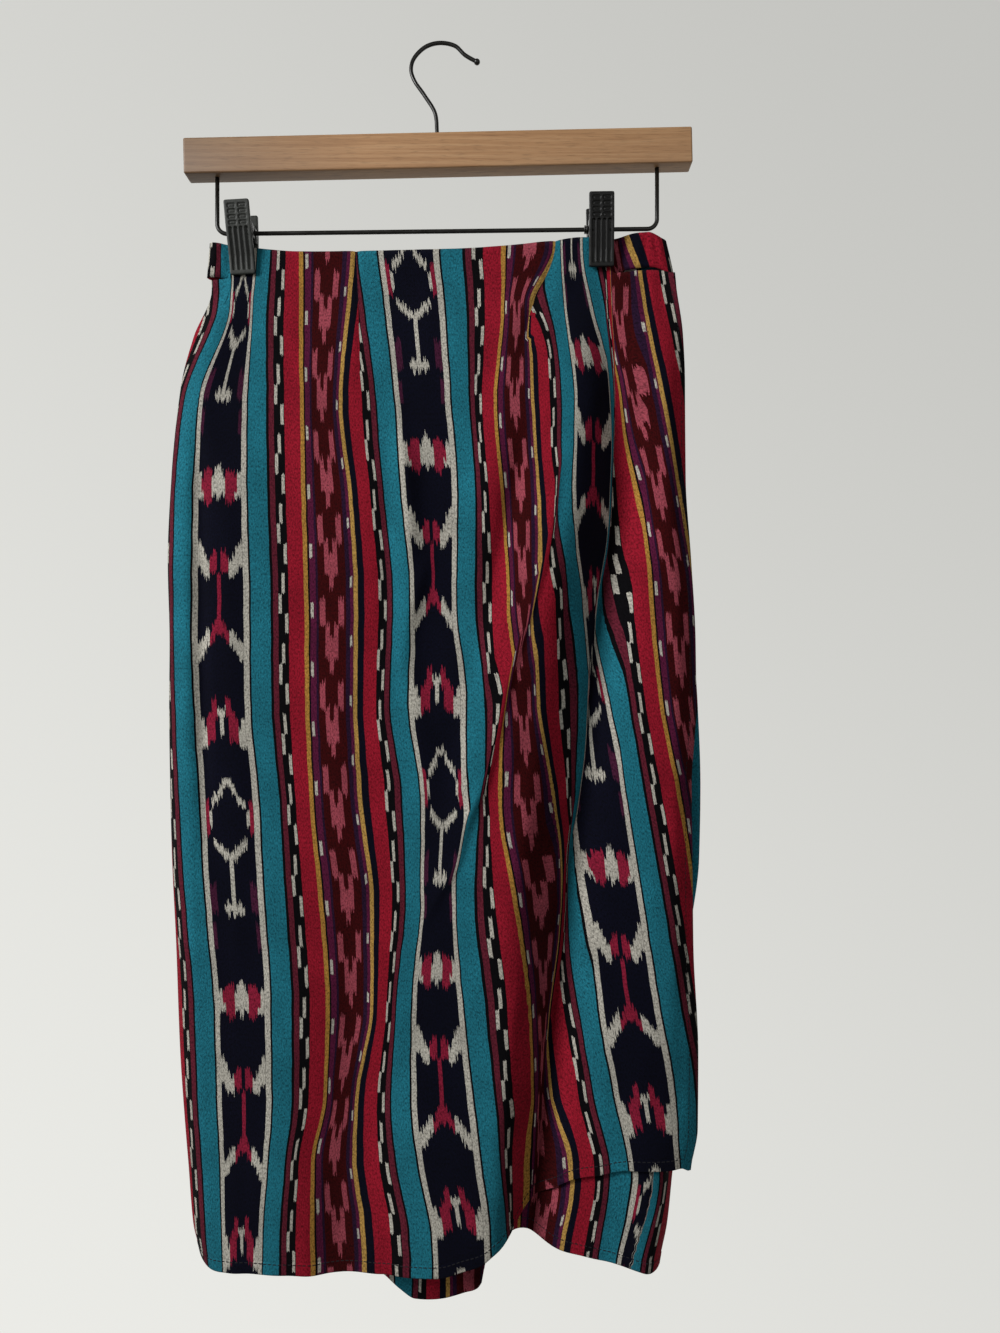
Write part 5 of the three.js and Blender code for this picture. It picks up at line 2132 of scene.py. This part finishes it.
@dataclass(frozen=True)
class Studio:
    """A pale floor far below, soft light from the upper left and a camera before the skirt."""

    pixel: float = 0.70  # mm of the bar's front face for each pixel of the photograph
    distance: float = 680.0  # from that face to the camera
    face: float = -7.0  # its depth
    centre: tuple[float, float] = (43.5, -439.5)  # the middle of the photograph, at the hanger
    tall: float = 1333.0  # the photograph's height in pixels
    sensor: float = 36.0
    room: float = 0.12  # how bright the room is before the skirt, against a white of 1
    aim: tuple[float, float, float] = (0.0, 0.0, -0.45)  # the skirt's middle, m
    floor_z: float = -1.55
    floor_half: float = 0.8

    def build(self) -> None:
        """Make the camera, the lights, the background and the floor."""
        scene = bpy.context.scene
        data = bpy.data.cameras.new("camera")
        data.sensor_fit = "VERTICAL"
        data.sensor_height = self.sensor
        data.lens = self.sensor * self.distance / (self.pixel * self.tall)
        data.clip_start = 0.02
        camera = bpy.data.objects.new("camera", data)
        camera.location = (self.centre[0] * MM, (self.face - self.distance) * MM, self.centre[1] * MM)
        camera.rotation_euler = (math.pi / 2, 0, 0)
        scene.collection.objects.link(camera)
        scene.camera = camera
        scene.view_settings.view_transform = "Standard"
        self._light("window at the left", (-1.65, -1.25, 0.5), 0.8, 52.0)
        self._light("room", (0.9, -1.6, -0.2), 1.6, 6.5)
        self._light("rear", (-0.6, 1.5, 0.5), 1.4, 9.0)
        scene.world = self._surroundings()
        self._floor()

    def _surroundings(self) -> bpy.types.World:
        """Pale behind the skirt, a little darker upwards and to the right, and a dimmer room before it.

        Returns:
            The world.
        """
        world = bpy.data.worlds.new("pale background and dim room")
        world.use_nodes = True
        tree = world.node_tree
        tree.nodes.clear()
        way = add_node(tree, "SeparateXYZ", i0=add_node(tree, "TexCoord").outputs["Generated"])
        x, y, z = way.outputs[:3]
        smooth = {"interpolation_type": "SMOOTHSTEP"}
        behind = add_node(tree, "MapRange", smooth, i0=y, i1=0.4, i2=0.68)
        below = add_node(tree, "MapRange", smooth, i0=z, i1=-0.75, i2=-0.6)
        behind = add_node(tree, "Math", "MULTIPLY", i0=behind, i1=below)
        pale = add_node(tree, "Math", "MULTIPLY_ADD", i0=z, i1=-0.17, i2=0.69)
        pale = add_node(tree, "Math", "MULTIPLY_ADD", i0=x, i1=-0.14, i2=pale)
        strength = add_node(tree, "Mix", {"data_type": "FLOAT"}, i0=behind, i2=self.room, i3=pale)
        light = add_node(tree, "Background", Color=linear("#fffffa"), Strength=strength)
        out = add_node(tree, "OutputWorld")
        feed(out, i0=light)
        return world

    def _light(self, name: str, place: tuple[float, float, float], size: float, watts: float) -> None:
        """Add a soft square light that looks at the skirt's middle.

        Args:
            name: The light's name.
            place: Where it hangs, in metres.
            size: Its side, in metres.
            watts: Its power.
        """
        data = bpy.data.lights.new(name, "AREA")
        data.size = size
        data.energy = watts
        light = bpy.data.objects.new(name, data)
        light.location = place
        aim = Vector(self.aim) - Vector(place)
        light.rotation_euler = aim.to_track_quat("-Z", "Y").to_euler()
        bpy.context.scene.collection.objects.link(light)

    def _floor(self) -> None:
        """A plain pale floor, below the picture."""
        bm = bmesh.new()
        bmesh.ops.create_grid(bm, x_segments=1, y_segments=1, size=self.floor_half)
        bmesh.ops.translate(bm, verts=bm.verts, vec=(0, 0, self.floor_z))
        floor = to_object(bm, "floor", smooth=False)
        material, _, shader = new_material("pale_floor")
        feed(shader, Base_Color=linear("#77746d"), Roughness=0.8)
        floor.data.materials.append(material)


def main() -> None:
    """Build the studio, the hanger and the skirt, and report each piece's vertex count."""
    logging.basicConfig(level=logging.INFO, format="%(name)s: %(message)s")
    Studio().build()
    for piece in [*Hanger().build(), *Skirt().build()]:
        log.info("%s: %d vertices", piece.name, len(piece.data.vertices))
    bpy.context.view_layer.update()


if __name__ == "__main__":
    main()
